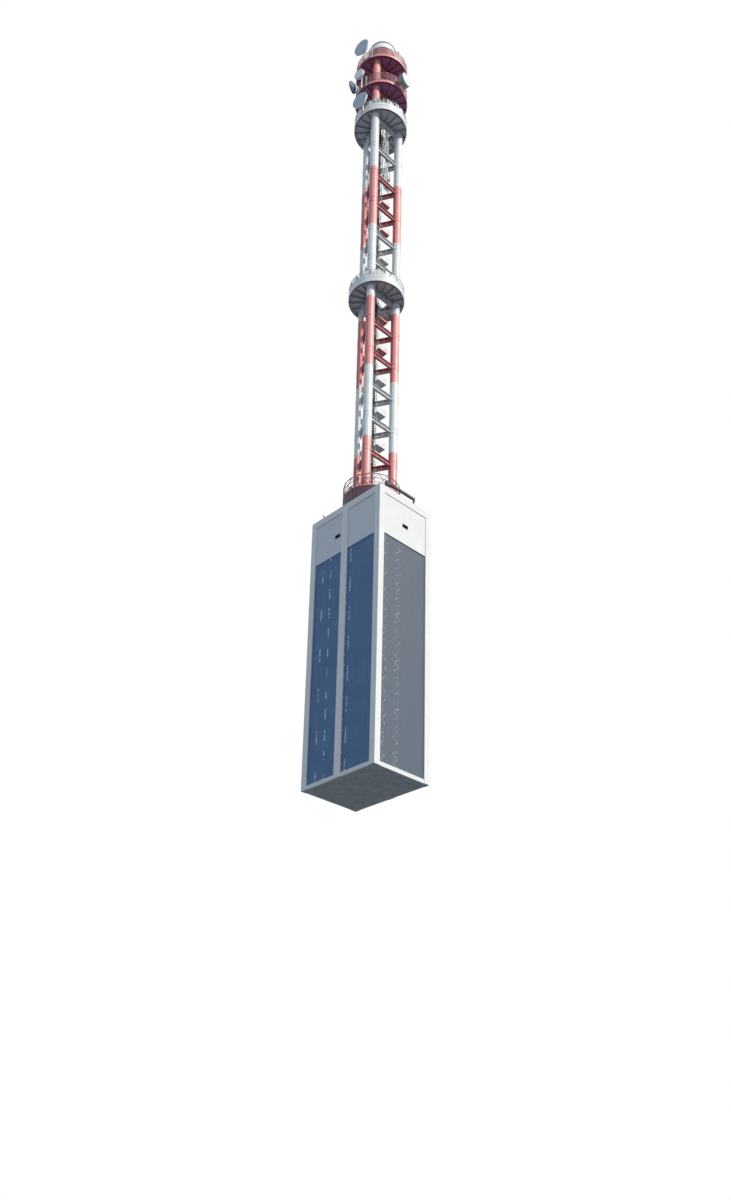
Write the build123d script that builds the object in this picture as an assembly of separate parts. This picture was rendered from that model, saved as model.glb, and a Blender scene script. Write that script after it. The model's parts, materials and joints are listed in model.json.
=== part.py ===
from build123d import *
import os
from math import atan2, cos, degrees, hypot, radians, sin, tan

# Radio mast on its plant shaft, a 1:10 scale model: 1 mm here is 10 mm of the real one
# Origin in the middle of the shaft's underside, +Z up, -Y the narrow face, -X the wide face

clearance = 0.3            # between a piece and what it seats on, where either is round or turned
leg_gap = 2.0              # round each leg and riser where it passes through a deck

# Shaft
shaft_x = 1045.0
shaft_y = 1445.0
shaft_height = 4330.0
pier = 100.0               # corner piers, square
mid_pier = 124.0           # pier in the middle of each wide face
mid_pier_depth = 90.0
wall = 30.0
wall_recess = 8.0          # walls and sills stand back from the piers
wall_height = 655.0        # upper walls, from the coping down to the screens
coping_height = 110.0
parapet_height = 70.0      # roof to the top of the coping
roof_slab = 30.0
floor_slab = 40.0
sill_height = 60.0
screen = 6.0
screen_recess = 22.0
vent_width = 110.0
vent_height = 62.0
vent_drop = 470.0          # its middle, below the top edge
vent_depth = 20.0
vent_inset = 90.0          # the left vent's middle, from the mid pier

# Steel frame behind the screens
frame_setback = 150.0
frame_column = 36.0
frame_brace = 20.0
frame_bays = 6

# Rail over the front coping
gantry_start = -410.0
gantry_length = 590.0
gantry_rail = 26.0
gantry_rise = 70.0
gantry_post = 14.0
gantry_posts = 3
trolley_height = 34.0

# Legs and the beams between them
leg_circle = 320.0         # leg centres, from the axis
leg_radius = 69.0
leg_angles = (210, 330, 90)
riser = 34.0               # square duct outside the beams of one side
riser_side = 150           # the side it is on, as an angle
riser_shift = 120.0        # from the middle of that side
beam_depth = 80.0
beam_flange = 40.0
beam_plate = 6.0

# Heights of the mast, each from the one before
drum_height = 390.0
first_rise = 710.0         # top of the drum to the lowest beams
level_pitch = 615.0
level_count = 11
mid_level = 5              # the beams that carry the middle deck
upper_rise = 3740.0
head_rise = 630.0
top_rise = 625.0

# Colour bands: where each ends, from the beams or the deck named beside it
band_1_above_first = 210.0
band_2_above_third = 310.0
band_3_below_mid = 220.0
band_4_above_mid = 1270.0
band_5_below_upper = 1210.0
band_6_above_upper = 330.0

# Ring decks and their railings
ring_radius = 448.0        # to the rim's corners
ring_bays = 18             # ribs, and bays of each railing
rim_sides = 36             # flats of each rim
rim_plate = 8.0
white_rim = 90.0
red_rim = 46.0
deck_plate = 8.0
deck_drop = 34.0           # deck plate above the lower edge of the rim
rib_plate = 6.0
rib_start = 112.0          # inner end of a rib, from the axis
hole_sides = 12
hatch_x = 60.0
hatch_wide = 260.0
hatch_deep = 130.0
rail_bar = 5.0
rail_post = 4.0
white_railing = 150.0
head_railing = 188.0
top_railing = 160.0
drum_radius = 430.0
drum_railing = 200.0

# Head cabin
cabin_radius = 230.0
cabin_height = 590.0
cabin_roof = 12.0
cabin_eave = 8.0

# Rest platforms, ladder and cables inside the mast
rest_x = 100.0
rest_y = -20.0
rest_wide = 170.0
rest_deep = 125.0
rest_plate = 8.0
rest_edge = 22.0
ladder_width = 50.0
ladder_bar = 6.0
rung_pitch = 205.0
ladder_above_deck = 100.0
feeder = 16.0
feeder_count = 3
feeder_pitch = 22.0
feeder_sides = 8
guide = 13.0
guide_count = 4
guide_pitch = 24.0
guide_x = 0.0
guide_levels = 2           # beam levels that the guides run past, below the upper deck

# Dishes: diameter, depth of the shroud, the way it faces, then the azimuth and reach of the
# middle of its front, its height above the deck's lower edge, and the deck that carries it
bowl_share = 0.2           # depth of the bowl behind the shroud, of the diameter
shoulder_depth = 0.6       # of the bowl's depth
shoulder_share = 0.66      # of the diameter, and so is the hub's
hub_share = 0.22
dish_sides = 24
pole_radius = 12.0
pole_sides = 12
arm_bar = 12.0
dishes = {
    "dish_top_left": (295.0, 28.0, 188, 188, 590.0, 175.0, "top"),
    "dish_shrouded": (190.0, 40.0, 188, 181, 560.0, 250.0, "head"),
    "dish_edge_on": (200.0, 30.0, 110, 166, 590.0, 40.0, "head"),
    "dish_low_left": (295.0, 28.0, 188, 188, 590.0, 170.0, "upper"),
    "dish_right": (230.0, 80.0, 278, 272, 600.0, 100.0, "head"),
}

# Upright frames on the rims beside two dishes: azimuth, height and deck
stay_bar = 8.0
stay_wide = 34.0
stays = ((202, 250.0, "top"), (190, 228.0, "head"))

# Lamps: azimuth on the railing of a deck
lamp_radius = 9.0
lamp_height = 30.0
lamp_stem = 4.5
lamp_sides = 8
lamps = ((266, "top"), (304, "head"), (143, "head"), (318, "upper"))
flood_azimuth = 169
flood_setback = 56.0       # from the edge of the drum
flood_wide = 56.0
flood_deep = 28.0
flood_foot = 14.0
flood_post = 34.0
parapet_lamp_y = 490.0

# Heights and places that follow
roof_top = shaft_height - parapet_height
screen_top = shaft_height - coping_height - wall_height
drum_top = roof_top + drum_height
first_level = drum_top + first_rise
mid_soffit = first_level + mid_level * level_pitch + beam_depth / 2
upper_soffit = mid_soffit + upper_rise
head_soffit = upper_soffit + head_rise
top_soffit = head_soffit + top_rise
soffits = {"upper": upper_soffit, "head": head_soffit, "top": top_soffit}
rims = {"upper": white_rim, "head": red_rim, "top": red_rim}
railings = {"upper": white_railing, "head": head_railing, "top": top_railing}
half_x = shaft_x / 2
half_y = shaft_y / 2
bay_low = mid_pier / 2
bay_high = half_y - pier
bay_x = half_x - pier
frame_x = half_x - frame_setback
frame_y = half_y - frame_setback
leg_places = [(leg_circle * cos(radians(a)), leg_circle * sin(radians(a))) for a in leg_angles]
side_inset = leg_circle / 2
side_angles = (270, 30, 150)
rest_left = rest_x - rest_wide / 2


def box(x0, x1, y0, y1, z0, z1):
    middle = ((x0 + x1) / 2, (y0 + y1) / 2, (z0 + z1) / 2)
    return Pos(*middle) * Box(abs(x1 - x0), abs(y1 - y0), z1 - z0)


def prism(radius, sides, z0, z1, x=0.0, y=0.0):
    return extrude(Pos(x, y, z0) * RegularPolygon(radius, sides), z1 - z0)


def tube(radius, z0, z1, x=0.0, y=0.0):
    return Pos(x, y, (z0 + z1) / 2) * Cylinder(radius, z1 - z0)


def bar(start, end, size):
    run = Vector(*end) - Vector(*start)
    return extrude(Plane(origin=start, z_dir=run) * Rectangle(size, size), run.length)


def heading(angle):
    return Vector(cos(radians(angle)), sin(radians(angle)), 0)


def save(name, *solids):
    shape = solids[0] if len(solids) == 1 else Compound(children=list(solids))
    export_step(shape, f"parts/{name}.step")


def corner_piers():
    x = half_x - pier / 2
    y = half_y - pier / 2
    post = Pos(0, 0, shaft_height / 2) * Box(pier, pier, shaft_height)
    return [Pos(sx * x, sy * y) * post for sx in (-1, 1) for sy in (-1, 1)]


def mid_piers():
    x = half_x - mid_pier_depth / 2
    post = Pos(0, 0, shaft_height / 2) * Box(mid_pier_depth, mid_pier, shaft_height)
    return [Pos(side * x, 0) * post for side in (-1, 1)]


# Panels of a wide face, one each side of its mid pier
def wide_panels(side, recess, thick, z0, z1):
    outer = side * (half_x - recess)
    inner = side * (half_x - recess - thick)
    return [box(inner, outer, s * bay_low, s * bay_high, z0, z1) for s in (-1, 1)]


def narrow_panel(side, recess, thick, z0, z1):
    outer = side * (half_y - recess)
    inner = side * (half_y - recess - thick)
    return box(-bay_x, bay_x, inner, outer, z0, z1)


def vent(x, y, wide_x, wide_y):
    return Pos(x, y, shaft_height - vent_drop) * Box(wide_x, wide_y, vent_height)


def walls():
    top = shaft_height - coping_height
    left = wide_panels(-1, wall_recess, wall, screen_top, top)
    left[1] -= vent(-half_x + wall_recess, bay_low + vent_inset, 2 * vent_depth, vent_width)
    front = narrow_panel(-1, wall_recess, wall, screen_top, top)
    front -= vent(0, -half_y + wall_recess, vent_width, 2 * vent_depth)
    right = wide_panels(1, wall_recess, wall, screen_top, top)
    rear = narrow_panel(1, wall_recess, wall, screen_top, top)
    return {"left": left, "right": right, "front": [front], "rear": [rear]}


def band_round(recess, z0, z1):
    parts = []
    for side in (-1, 1):
        parts += wide_panels(side, recess, wall, z0, z1)
        parts.append(narrow_panel(side, recess, wall, z0, z1))
    return parts


def slab(inset, z0, z1):
    x = half_x - inset
    y = half_y - inset
    return box(-x, x, -y, y, z0, z1) - [*corner_piers(), *mid_piers()]


def frame_columns():
    top = roof_top - roof_slab
    post = Pos(0, 0, (floor_slab + top) / 2) * Box(frame_column, frame_column, top - floor_slab)
    return [Pos(side * frame_x, y) * post for side in (-1, 1) for y in (-frame_y, 0, frame_y)]


# Struts, and a diagonal a bay that turns about from bay to bay, between columns at x = 0 and width
def braced_panel(width):
    x0 = frame_column / 2 + clearance
    x1 = width - x0
    half = frame_brace / 2
    z0 = floor_slab + frame_brace
    rise = (roof_top - roof_slab - frame_brace - z0) / frame_bays
    levels = [z0 + n * rise for n in range(frame_bays + 1)]
    bars = [box(x0, x1, -half, half, z - half, z + half) for z in levels]
    for n in range(frame_bays):
        low = z0 + n * rise + frame_brace
        high = z0 + (n + 1) * rise - 2 * frame_brace
        start, end = (x0, x1) if n % 2 else (x1, x0)
        outline = [(start, low), (end, high), (end, high + frame_brace), (start, low + frame_brace)]
        face = make_face(Plane.XZ * Polyline(*outline, close=True))
        bars.append(extrude(face, half, both=True))
    return bars


def frame_braces():
    along_y = braced_panel(frame_y)
    along_x = braced_panel(2 * frame_x)
    sides = {}
    for name, side in (("left", -1), ("right", 1)):
        starts = [Pos(side * frame_x, y) * Rot(0, 0, 90) for y in (-frame_y, 0)]
        sides[name] = [place * piece for place in starts for piece in along_y]
    for name, side in (("front", -1), ("rear", 1)):
        sides[name] = [Pos(-frame_x, side * frame_y) * piece for piece in along_x]
    return sides


def gantry():
    z = shaft_height + gantry_rise
    y = -half_y + wall / 2
    x1 = gantry_start + gantry_length
    rail = box(gantry_start, x1, y - gantry_rail, y, z, z + gantry_rail)
    trolley = box(x1 - gantry_rail, x1, y - gantry_rail, y - gantry_post, z - trolley_height, z)
    half = gantry_post / 2
    step = (gantry_length - gantry_post) / (gantry_posts - 1)
    places = [gantry_start + half + n * step for n in range(gantry_posts)]
    posts = [box(x - half, x + half, y - half, y + half, shaft_height, z) for x in places]
    return rail + [trolley, *posts]


def on_side(angle, out, along, solid):
    return Rot(0, 0, angle) * Pos(out, along) * solid


def riser_duct(z0, z1, size):
    out = side_inset + beam_flange / 2 + clearance + riser / 2
    return on_side(riser_side, out, -riser_shift, Pos(0, 0, (z0 + z1) / 2) * Box(size, size, z1 - z0))


def band_edges():
    return [
        first_level + band_1_above_first,
        first_level + 2 * level_pitch + band_2_above_third,
        mid_soffit - band_3_below_mid,
        mid_soffit + band_4_above_mid,
        upper_soffit - band_5_below_upper,
        upper_soffit + band_6_above_upper,
    ]


def leg_bands():
    edges = band_edges()
    leg_top = top_soffit + deck_drop - clearance
    bands = []
    for low, high in zip([roof_top, *edges], [*edges, leg_top]):
        bands.append([tube(leg_radius, low, high, x, y) for x, y in leg_places])
    riser_edges = [edge for edge in edges if edge < upper_soffit]
    for band, low, high in zip(bands, [drum_top, *riser_edges], [*riser_edges, upper_soffit]):
        band.append(riser_duct(low, high, riser))
    return bands


def beam(angle, z):
    half = leg_circle * cos(radians(30)) - leg_radius - clearance
    web = Box(beam_plate, 2 * half, beam_depth)
    flange = Box(beam_flange, 2 * half, beam_plate)
    lift = (beam_depth - beam_plate) / 2
    section = web + [Pos(0, 0, lift) * flange, Pos(0, 0, -lift) * flange]
    return on_side(angle, side_inset, 0, Pos(0, 0, z) * section)


def is_red(z):
    return sum(z > edge for edge in band_edges()) % 2 == 0


def beam_levels():
    decks = (upper_soffit, head_soffit, top_soffit)
    levels = [first_level + n * level_pitch for n in range(level_count)]
    return levels + [soffit - beam_depth / 2 for soffit in decks]


def beam_sets():
    red, white = [], []
    for z in beam_levels():
        (red if is_red(z) else white).extend(beam(angle, z) for angle in side_angles)
    return red, white


def leg_holes(z0, z1):
    outline = RegularPolygon(leg_radius + leg_gap, hole_sides, major_radius=False)
    return [extrude(Pos(x, y, z0) * outline, z1 - z0) for x, y in leg_places]


# What passes through a deck: the legs, and the ladder and cables in its hatch
def deck_cuts(soffit, rim):
    z0 = soffit - clearance
    z1 = soffit + rim
    x0 = hatch_x - hatch_wide / 2
    y0 = rest_y - hatch_deep / 2
    return [*leg_holes(z0, z1), box(x0, x0 + hatch_wide, y0, y0 + hatch_deep, z0, z1)]


# A rim, a deck plate inside it and ribs below the plate
def ring_deck(soffit, rim, cuts):
    top = soffit + deck_drop + deck_plate
    reach = ring_radius - rim_plate
    below = prism(reach, rim_sides, soffit, soffit + deck_drop)
    above = prism(reach, rim_sides, top, soffit + rim)
    shell = prism(ring_radius, rim_sides, soffit, soffit + rim) - [below, above]
    rib = box(rib_start, reach, -rib_plate / 2, rib_plate / 2, soffit, soffit + deck_drop)
    ribs = [Rot(0, 0, (n + 0.5) * 360 / ring_bays) * rib for n in range(ring_bays)]
    return shell + ribs - cuts


# A hoop with straight bays, and a post under each of its corners
def railing(radius, z, height):
    hoop_low = z + height - rail_bar
    ring = RegularPolygon(radius, ring_bays) - RegularPolygon(radius - rail_bar, ring_bays)
    hoop = extrude(Pos(0, 0, hoop_low) * ring, rail_bar)
    post = Pos(radius - rail_bar / 2, 0, (z + hoop_low) / 2) * Box(rail_post, rail_post, hoop_low - z)
    return hoop + [Rot(0, 0, n * 360 / ring_bays) * post for n in range(ring_bays)]


def base_drum():
    hollow = prism(drum_radius - rim_plate, rim_sides, roof_top, drum_top - deck_plate)
    return prism(drum_radius, rim_sides, roof_top, drum_top) - [hollow, *leg_holes(roof_top, drum_top)]


def cabin():
    z0 = top_soffit + deck_drop + deck_plate
    z1 = z0 + cabin_height
    body = prism(cabin_radius, rim_sides, z0, z1)
    return body + prism(cabin_radius + cabin_eave, rim_sides, z1, z1 + cabin_roof)


def rest(z):
    plate = Box(rest_wide, rest_deep, rest_plate)
    edge = Box(rest_wide, rest_deep, rest_edge)
    edge -= Box(rest_wide - 2 * rest_plate, rest_deep - 2 * rest_plate, rest_edge)
    return Pos(rest_x, rest_y, z) * (plate + edge)


def rest_platforms():
    red, white = [], []
    for n in range(level_count - 1):
        z = first_level + (n + 0.5) * level_pitch
        (red if is_red(z) else white).append(rest(z))
    return red, white


def ladder():
    z1 = head_soffit + deck_drop + deck_plate + ladder_above_deck
    x1 = rest_left - clearance
    x0 = x1 - ladder_bar
    half = ladder_width / 2
    sides = (rest_y - half, rest_y + half - ladder_bar)
    stiles = [box(x0, x1, y, y + ladder_bar, drum_top, z1) for y in sides]
    count = int((z1 - drum_top) / rung_pitch)
    levels = [drum_top + (n + 0.5) * rung_pitch for n in range(count)]
    rungs = [box(x0, x1, rest_y - half, rest_y + half, z, z + ladder_bar) for z in levels]
    return stiles[0] + [stiles[1], *rungs]


def feeders():
    x = rest_left - 2 * clearance - ladder_bar - feeder
    run = [x - n * feeder_pitch for n in range(feeder_count)]
    return [prism(feeder / 2, feeder_sides, drum_top, head_soffit, place, rest_y) for place in run]


# Pale waveguides inside the front beams, from the upper deck down past the beams below it
def waveguides():
    y = -side_inset + beam_flange / 2 + clearance + guide / 2
    top_beam = first_level + (level_count - 1) * level_pitch
    low = top_beam - (guide_levels - 1) * level_pitch - beam_depth
    places = [guide_x + n * guide_pitch for n in range(guide_count)]
    return [prism(guide / 2, feeder_sides, low, upper_soffit, x, y) for x in places]


# A flat-sided cone frustum from one radius to a smaller one
def frustum(start, end, z, rise):
    slope = degrees(atan2((start - end) * cos(radians(180 / dish_sides)), rise))
    return extrude(Pos(0, 0, z) * RegularPolygon(start, dish_sides), rise, taper=slope)


# The front cover and its shroud, then the bowl in two flatter and flatter steps down to the hub
def dish(diameter, shroud, facing, front):
    radius = diameter / 2
    shoulder = radius * shoulder_share
    bowl = diameter * bowl_share
    first_step = bowl * shoulder_depth
    drum = prism(radius, dish_sides, 0, shroud)
    outer = frustum(radius, shoulder, shroud, first_step)
    inner = frustum(shoulder, radius * hub_share, shroud + first_step, bowl - first_step)
    return Pos(*front) * Rot(0, 0, facing) * Rot(0, -90, 0) * (drum + [outer, inner])


# How far out a square-ended bar starts, so that it meets the flat or the corner of the rim it faces
def rim_reach(azimuth, half_width):
    step = 360 / rim_sides
    aside = abs(azimuth % step - step / 2)
    flat = ring_radius * cos(radians(step / 2)) / cos(radians(aside))
    corner = ring_radius * cos(radians(step / 2 - aside))
    return min(flat + half_width * tan(radians(aside)), corner) + clearance


def dish_pole(diameter, depth, facing, front, soffit, rim):
    centre = front - heading(facing) * (depth + clearance + pole_radius)
    low = min(soffit, front.Z - diameter / 4)
    high = max(soffit + rim, front.Z + diameter / 4)
    pole = prism(pole_radius, pole_sides, low, high, centre.X, centre.Y)
    azimuth = degrees(atan2(centre.Y, centre.X))
    half = arm_bar / 2
    start = rim_reach(azimuth, half)
    reach = hypot(centre.X, centre.Y)
    arms = [box(start, reach, -half, half, z, z + arm_bar) for z in (soffit, soffit + rim - arm_bar)]
    return pole + [Rot(0, 0, azimuth) * arm for arm in arms]


def make_dishes():
    made, poles = {}, []
    for name, (diameter, shroud, facing, azimuth, reach, rise, deck) in dishes.items():
        front = heading(azimuth) * reach + Vector(0, 0, soffits[deck] + rise)
        depth = shroud + diameter * bowl_share
        made[name] = dish(diameter, shroud, facing, front)
        poles.append(dish_pole(diameter, depth, facing, front, soffits[deck], rims[deck]))
    return made, poles


# Two square openings, one above the other, in an upright plate
def stay_frame(azimuth, height, soffit):
    half = stay_wide / 2
    x0 = rim_reach(azimuth, half)
    x1 = x0 + stay_bar
    gap = (height - 3 * stay_bar) / 2
    levels = [soffit + stay_bar + n * (gap + stay_bar) for n in (0, 1)]
    openings = [box(x0, x1, stay_bar - half, half - stay_bar, z, z + gap) for z in levels]
    return Rot(0, 0, azimuth) * (box(x0, x1, -half, half, soffit, soffit + height) - openings)


def lamp(x, y, z, lift=0.0):
    head = prism(lamp_radius, lamp_sides, z + lift, z + lift + lamp_height, x, y)
    if not lift:
        return head
    return head + prism(lamp_stem, lamp_sides, z, z + lift, x, y)


def all_lamps():
    reach = ring_radius * cos(radians(180 / ring_bays)) - rail_bar / 2
    made = []
    for azimuth, deck in lamps:
        place = heading(azimuth) * reach
        made.append(lamp(place.X, place.Y, soffits[deck] + rims[deck] + railings[deck] + clearance))
    made.append(lamp(-half_x + wall / 2, parapet_lamp_y, shaft_height, lamp_height))
    return made


def floodlight():
    place = heading(flood_azimuth) * (drum_radius - flood_setback)
    post = Pos(0, 0, flood_post / 2) * Box(flood_foot, flood_foot, flood_post)
    case = Pos(0, 0, flood_post + flood_wide / 2) * Box(flood_deep, flood_wide, flood_wide)
    return Pos(place.X, place.Y, drum_top) * Rot(0, 0, flood_azimuth) * (post + case)


os.makedirs("parts", exist_ok=True)

save("corner_piers", *corner_piers())
save("mid_piers", *mid_piers())
for name, solids in walls().items():
    save(f"wall_{name}", *solids)
save("coping", *band_round(0, shaft_height - coping_height, shaft_height))
save("sills", *band_round(wall_recess, 0, sill_height))
save("screens_left", *wide_panels(-1, screen_recess, screen, sill_height, screen_top))
save("screens_right", *wide_panels(1, screen_recess, screen, sill_height, screen_top))
save("screen_front", narrow_panel(-1, screen_recess, screen, sill_height, screen_top))
save("screen_rear", narrow_panel(1, screen_recess, screen, sill_height, screen_top))
save("floor_slab", slab(wall_recess + wall, 0, floor_slab))
save("roof_slab", slab(wall, roof_top - roof_slab, roof_top))
save("frame_columns", *frame_columns())
for name, solids in frame_braces().items():
    save(f"frame_braces_{name}", *solids)
save("gantry_rail", gantry())

for number, solids in enumerate(leg_bands(), 1):
    save(f"legs_band_{number}", *solids)
for name, solids in zip(("beams_red", "beams_white"), beam_sets()):
    save(name, *solids)
for name, solids in zip(("rests_red", "rests_white"), rest_platforms()):
    save(name, *solids)
save("ladder", ladder())
save("feeders", *feeders())
save("waveguides", *waveguides())

save("base_drum", base_drum())
save("base_railing", railing(drum_radius, drum_top, drum_railing))
riser_hole = riser_duct(mid_soffit - clearance, mid_soffit + white_rim, riser + 2 * leg_gap)
save("mid_deck", ring_deck(mid_soffit, white_rim, [*deck_cuts(mid_soffit, white_rim), riser_hole]))
save("mid_railing", railing(ring_radius, mid_soffit + white_rim, white_railing))
for name in ("upper", "head"):
    save(f"{name}_deck", ring_deck(soffits[name], rims[name], deck_cuts(soffits[name], rims[name])))
top_holes = leg_holes(top_soffit - clearance, top_soffit + deck_drop)
save("top_deck", ring_deck(top_soffit, rims["top"], top_holes))
for name, soffit in soffits.items():
    save(f"{name}_railing", railing(ring_radius, soffit + rims[name], railings[name]))
save("head_cabin", cabin())
made_dishes, poles = make_dishes()
for name, solid in made_dishes.items():
    save(name, solid)
save("dish_mounts", *poles, *[stay_frame(a, height, soffits[deck]) for a, height, deck in stays])
save("lamps", *all_lamps())
save("lamp_drum", floodlight())
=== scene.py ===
import functools
import json
import math
import random

import bpy
from mathutils import Matrix, Vector


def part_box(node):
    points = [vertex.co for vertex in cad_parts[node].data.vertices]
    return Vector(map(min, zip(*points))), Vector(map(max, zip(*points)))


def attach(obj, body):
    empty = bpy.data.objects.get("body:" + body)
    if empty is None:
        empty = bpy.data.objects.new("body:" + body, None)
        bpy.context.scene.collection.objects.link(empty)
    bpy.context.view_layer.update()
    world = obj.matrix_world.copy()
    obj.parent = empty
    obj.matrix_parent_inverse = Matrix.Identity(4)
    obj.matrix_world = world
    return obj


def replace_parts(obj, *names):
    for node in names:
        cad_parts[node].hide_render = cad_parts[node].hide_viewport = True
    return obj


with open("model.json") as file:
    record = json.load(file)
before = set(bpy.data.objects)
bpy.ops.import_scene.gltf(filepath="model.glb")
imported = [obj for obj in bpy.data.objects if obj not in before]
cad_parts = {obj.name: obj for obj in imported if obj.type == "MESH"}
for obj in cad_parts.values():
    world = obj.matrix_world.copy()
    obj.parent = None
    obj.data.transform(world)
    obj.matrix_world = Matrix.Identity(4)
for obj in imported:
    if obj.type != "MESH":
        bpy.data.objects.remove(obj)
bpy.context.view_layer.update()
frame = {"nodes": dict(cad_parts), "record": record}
nodes = frame["nodes"]
random.seed(7)
print("frame loaded:", len(nodes), "nodes")

mm = 0.001    # the frame is in metres, and sizes below are millimetres times mm


# Small tools

def deselectAll():
    if bpy.context.object and bpy.context.object.mode != "OBJECT":
        bpy.ops.object.mode_set(mode="OBJECT")
    bpy.ops.object.select_all(action="DESELECT")


def pick(obj):
    deselectAll()
    obj.select_set(True)
    bpy.context.view_layer.objects.active = obj
    return obj


def settle(obj, name):    # place, turn and scale go into the mesh, and the object back to the origin
    pick(obj)
    bpy.ops.object.transform_apply(location=True, rotation=True, scale=True)
    obj.name = name
    obj.data.name = name
    return obj


def joinPieces(pieces, name):
    deselectAll()
    for piece in pieces:
        piece.select_set(True)
    bpy.context.view_layer.objects.active = pieces[0]
    if len(pieces) > 1:
        bpy.ops.object.join()
    joined = bpy.context.view_layer.objects.active
    joined.name = name
    joined.data.name = name
    return joined


def copiesAt(master, places, name):    # modelled once, then each copy has its own mesh
    made = []
    for place in places:
        twin = master.copy()
        twin.data = master.data.copy()
        twin.data.transform(place)
        bpy.context.collection.objects.link(twin)
        made.append(twin)
    bpy.data.objects.remove(master)
    return joinPieces(made, name)


def rowOf(piece, count, step):    # a straight row of a piece
    array = piece.modifiers.new("row", "ARRAY")
    array.count = count
    array.use_relative_offset = False
    array.use_constant_offset = True
    array.constant_offset_displace = step
    pick(piece)
    bpy.ops.object.modifier_apply(modifier=array.name)
    return piece


def faceOutward(piece, merge=0.0):
    pick(piece)
    bpy.ops.object.mode_set(mode="EDIT")
    bpy.ops.mesh.select_all(action="SELECT")
    if merge:
        bpy.ops.mesh.remove_doubles(threshold=merge)
    bpy.ops.mesh.normals_make_consistent(inside=False)
    bpy.ops.object.mode_set(mode="OBJECT")
    return piece


def turnAbout(angle):
    return Matrix.Rotation(math.radians(angle), 4, "Z")


def turnsOf(count, start=0.0):
    return [turnAbout(start + n * 360 / count) for n in range(count)]


def polarPoint(radius, angle, z):
    return Vector((radius * math.cos(math.radians(angle)), radius * math.sin(math.radians(angle)), z))


def barPiece(name, first, second, edge=0.0):    # a straight bar between two corners, its edges eased
    low, high = Vector(tuple(map(min, first, second))), Vector(tuple(map(max, first, second)))
    deselectAll()
    bpy.ops.mesh.primitive_cube_add(size=1, location=(low + high) / 2)
    bar = bpy.context.object
    bar.scale = high - low
    settle(bar, name)
    if edge:
        bpy.ops.object.mode_set(mode="EDIT")
        bpy.ops.mesh.select_all(action="SELECT")
        bpy.ops.mesh.bevel(offset=edge, segments=1, affect="EDGES")
        bpy.ops.object.mode_set(mode="OBJECT")
    return bar


def rodPiece(name, radius, start, end, sides=12):    # a round bar from point to point
    start, end = Vector(start), Vector(end)
    run = end - start
    deselectAll()
    bpy.ops.mesh.primitive_cylinder_add(vertices=sides, radius=radius, depth=run.length)
    rod = bpy.context.object
    turn = run.to_track_quat("Z", "Y").to_matrix().to_4x4()
    rod.matrix_world = Matrix.Translation((start + end) / 2) @ turn
    return settle(rod, name)


def turnedPiece(name, profile, steps=96, closed=False):    # a profile of radius and height, spun about Z
    mesh = bpy.data.meshes.new(name)
    edges = [(n, n + 1) for n in range(len(profile) - 1)]
    if closed:
        edges.append((len(profile) - 1, 0))
    mesh.from_pydata([(r, 0, z) for r, z in profile], edges, [])
    piece = bpy.data.objects.new(name, mesh)
    bpy.context.collection.objects.link(piece)
    pick(piece)
    bpy.ops.object.mode_set(mode="EDIT")
    bpy.ops.mesh.select_all(action="SELECT")
    bpy.ops.mesh.spin(steps=steps, angle=math.tau, center=(0, 0, 0), axis=(0, 0, 1))
    bpy.ops.object.mode_set(mode="OBJECT")
    return faceOutward(piece, 1e-6)


def ringPiece(name, inner, outer, low, high, steps=96):    # a flat ring or band
    return turnedPiece(name, [(inner, low), (outer, low), (outer, high), (inner, high)], steps, True)


def cablePiece(name, radius, points):    # a round jacket along a smooth run of points
    deselectAll()
    bpy.ops.curve.primitive_nurbs_path_add()
    curve = bpy.context.object.data
    curve.splines.clear()
    spline = curve.splines.new("NURBS")
    spline.points.add(len(points) - 1)
    for target, point in zip(spline.points, points):
        target.co = (*point, 1)
    spline.order_u = 3
    spline.use_endpoint_u = True
    spline.resolution_u = 4
    curve.bevel_depth = radius
    curve.bevel_resolution = 3
    curve.use_fill_caps = True
    bpy.ops.object.convert(target="MESH")
    return settle(bpy.context.object, name)


def sizeOf(node):
    low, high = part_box(node)
    return Vector(low), Vector(high)


# Colours are sRGB hex values, turned to linear for the shader

def linear(hexColour):
    values = [int(hexColour[n:n + 2], 16) / 255 for n in (1, 3, 5)]
    values = [v / 12.92 if v <= 0.04045 else ((v + 0.055) / 1.055) ** 2.4 for v in values]
    return (*values, 1.0)


def addNode(tree, kind, values, outlet=0):    # an outlet among the values is linked, and the rest is set
    node = tree.nodes.new("ShaderNode" + kind)
    for key, value in values.items():
        if isinstance(key, str) and hasattr(node, key):
            setattr(node, key, value)
        elif isinstance(value, bpy.types.NodeSocket):
            tree.links.new(value, node.inputs[key])
        else:
            node.inputs[key].default_value = linear(value) if isinstance(value, str) else value
    return node.outputs[outlet] if node.outputs else node


def newMaterial(name):
    material = bpy.data.materials.new(name)
    material.use_nodes = True
    material.node_tree.nodes.clear()
    add = functools.partial(addNode, material.node_tree)
    return material, add, add("TexCoord", {}, "Object")


def grain(add, place, size, detail=3.0, stretch=(1, 1, 1)):    # cloudy grain, its size in millimetres
    place = add("Mapping", {"Vector": place, "Scale": stretch})
    return add("TexNoise", {"Vector": place, "Scale": 1 / (size * mm), "Detail": detail})


def patches(add, place, size, low, high, detail=3.0, stretch=(1, 1, 1)):    # 1 on the peaks of the grain
    return add("MapRange", {0: grain(add, place, size, detail, stretch), 1: low, 2: high})


def sunSideMask(add):    # 1 on the side toward the sun, 0 on the far side: the mask for painted light
    toSun = polarPoint(1, light["azimuth"], 0)
    normal = add("NewGeometry", {}, "Normal")
    facing = add("VectorMath", {"operation": "DOT_PRODUCT", 0: normal, 1: toSun}, "Value")
    return add("MapRange", {0: facing, 1: -0.15, 2: 0.5})


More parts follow.
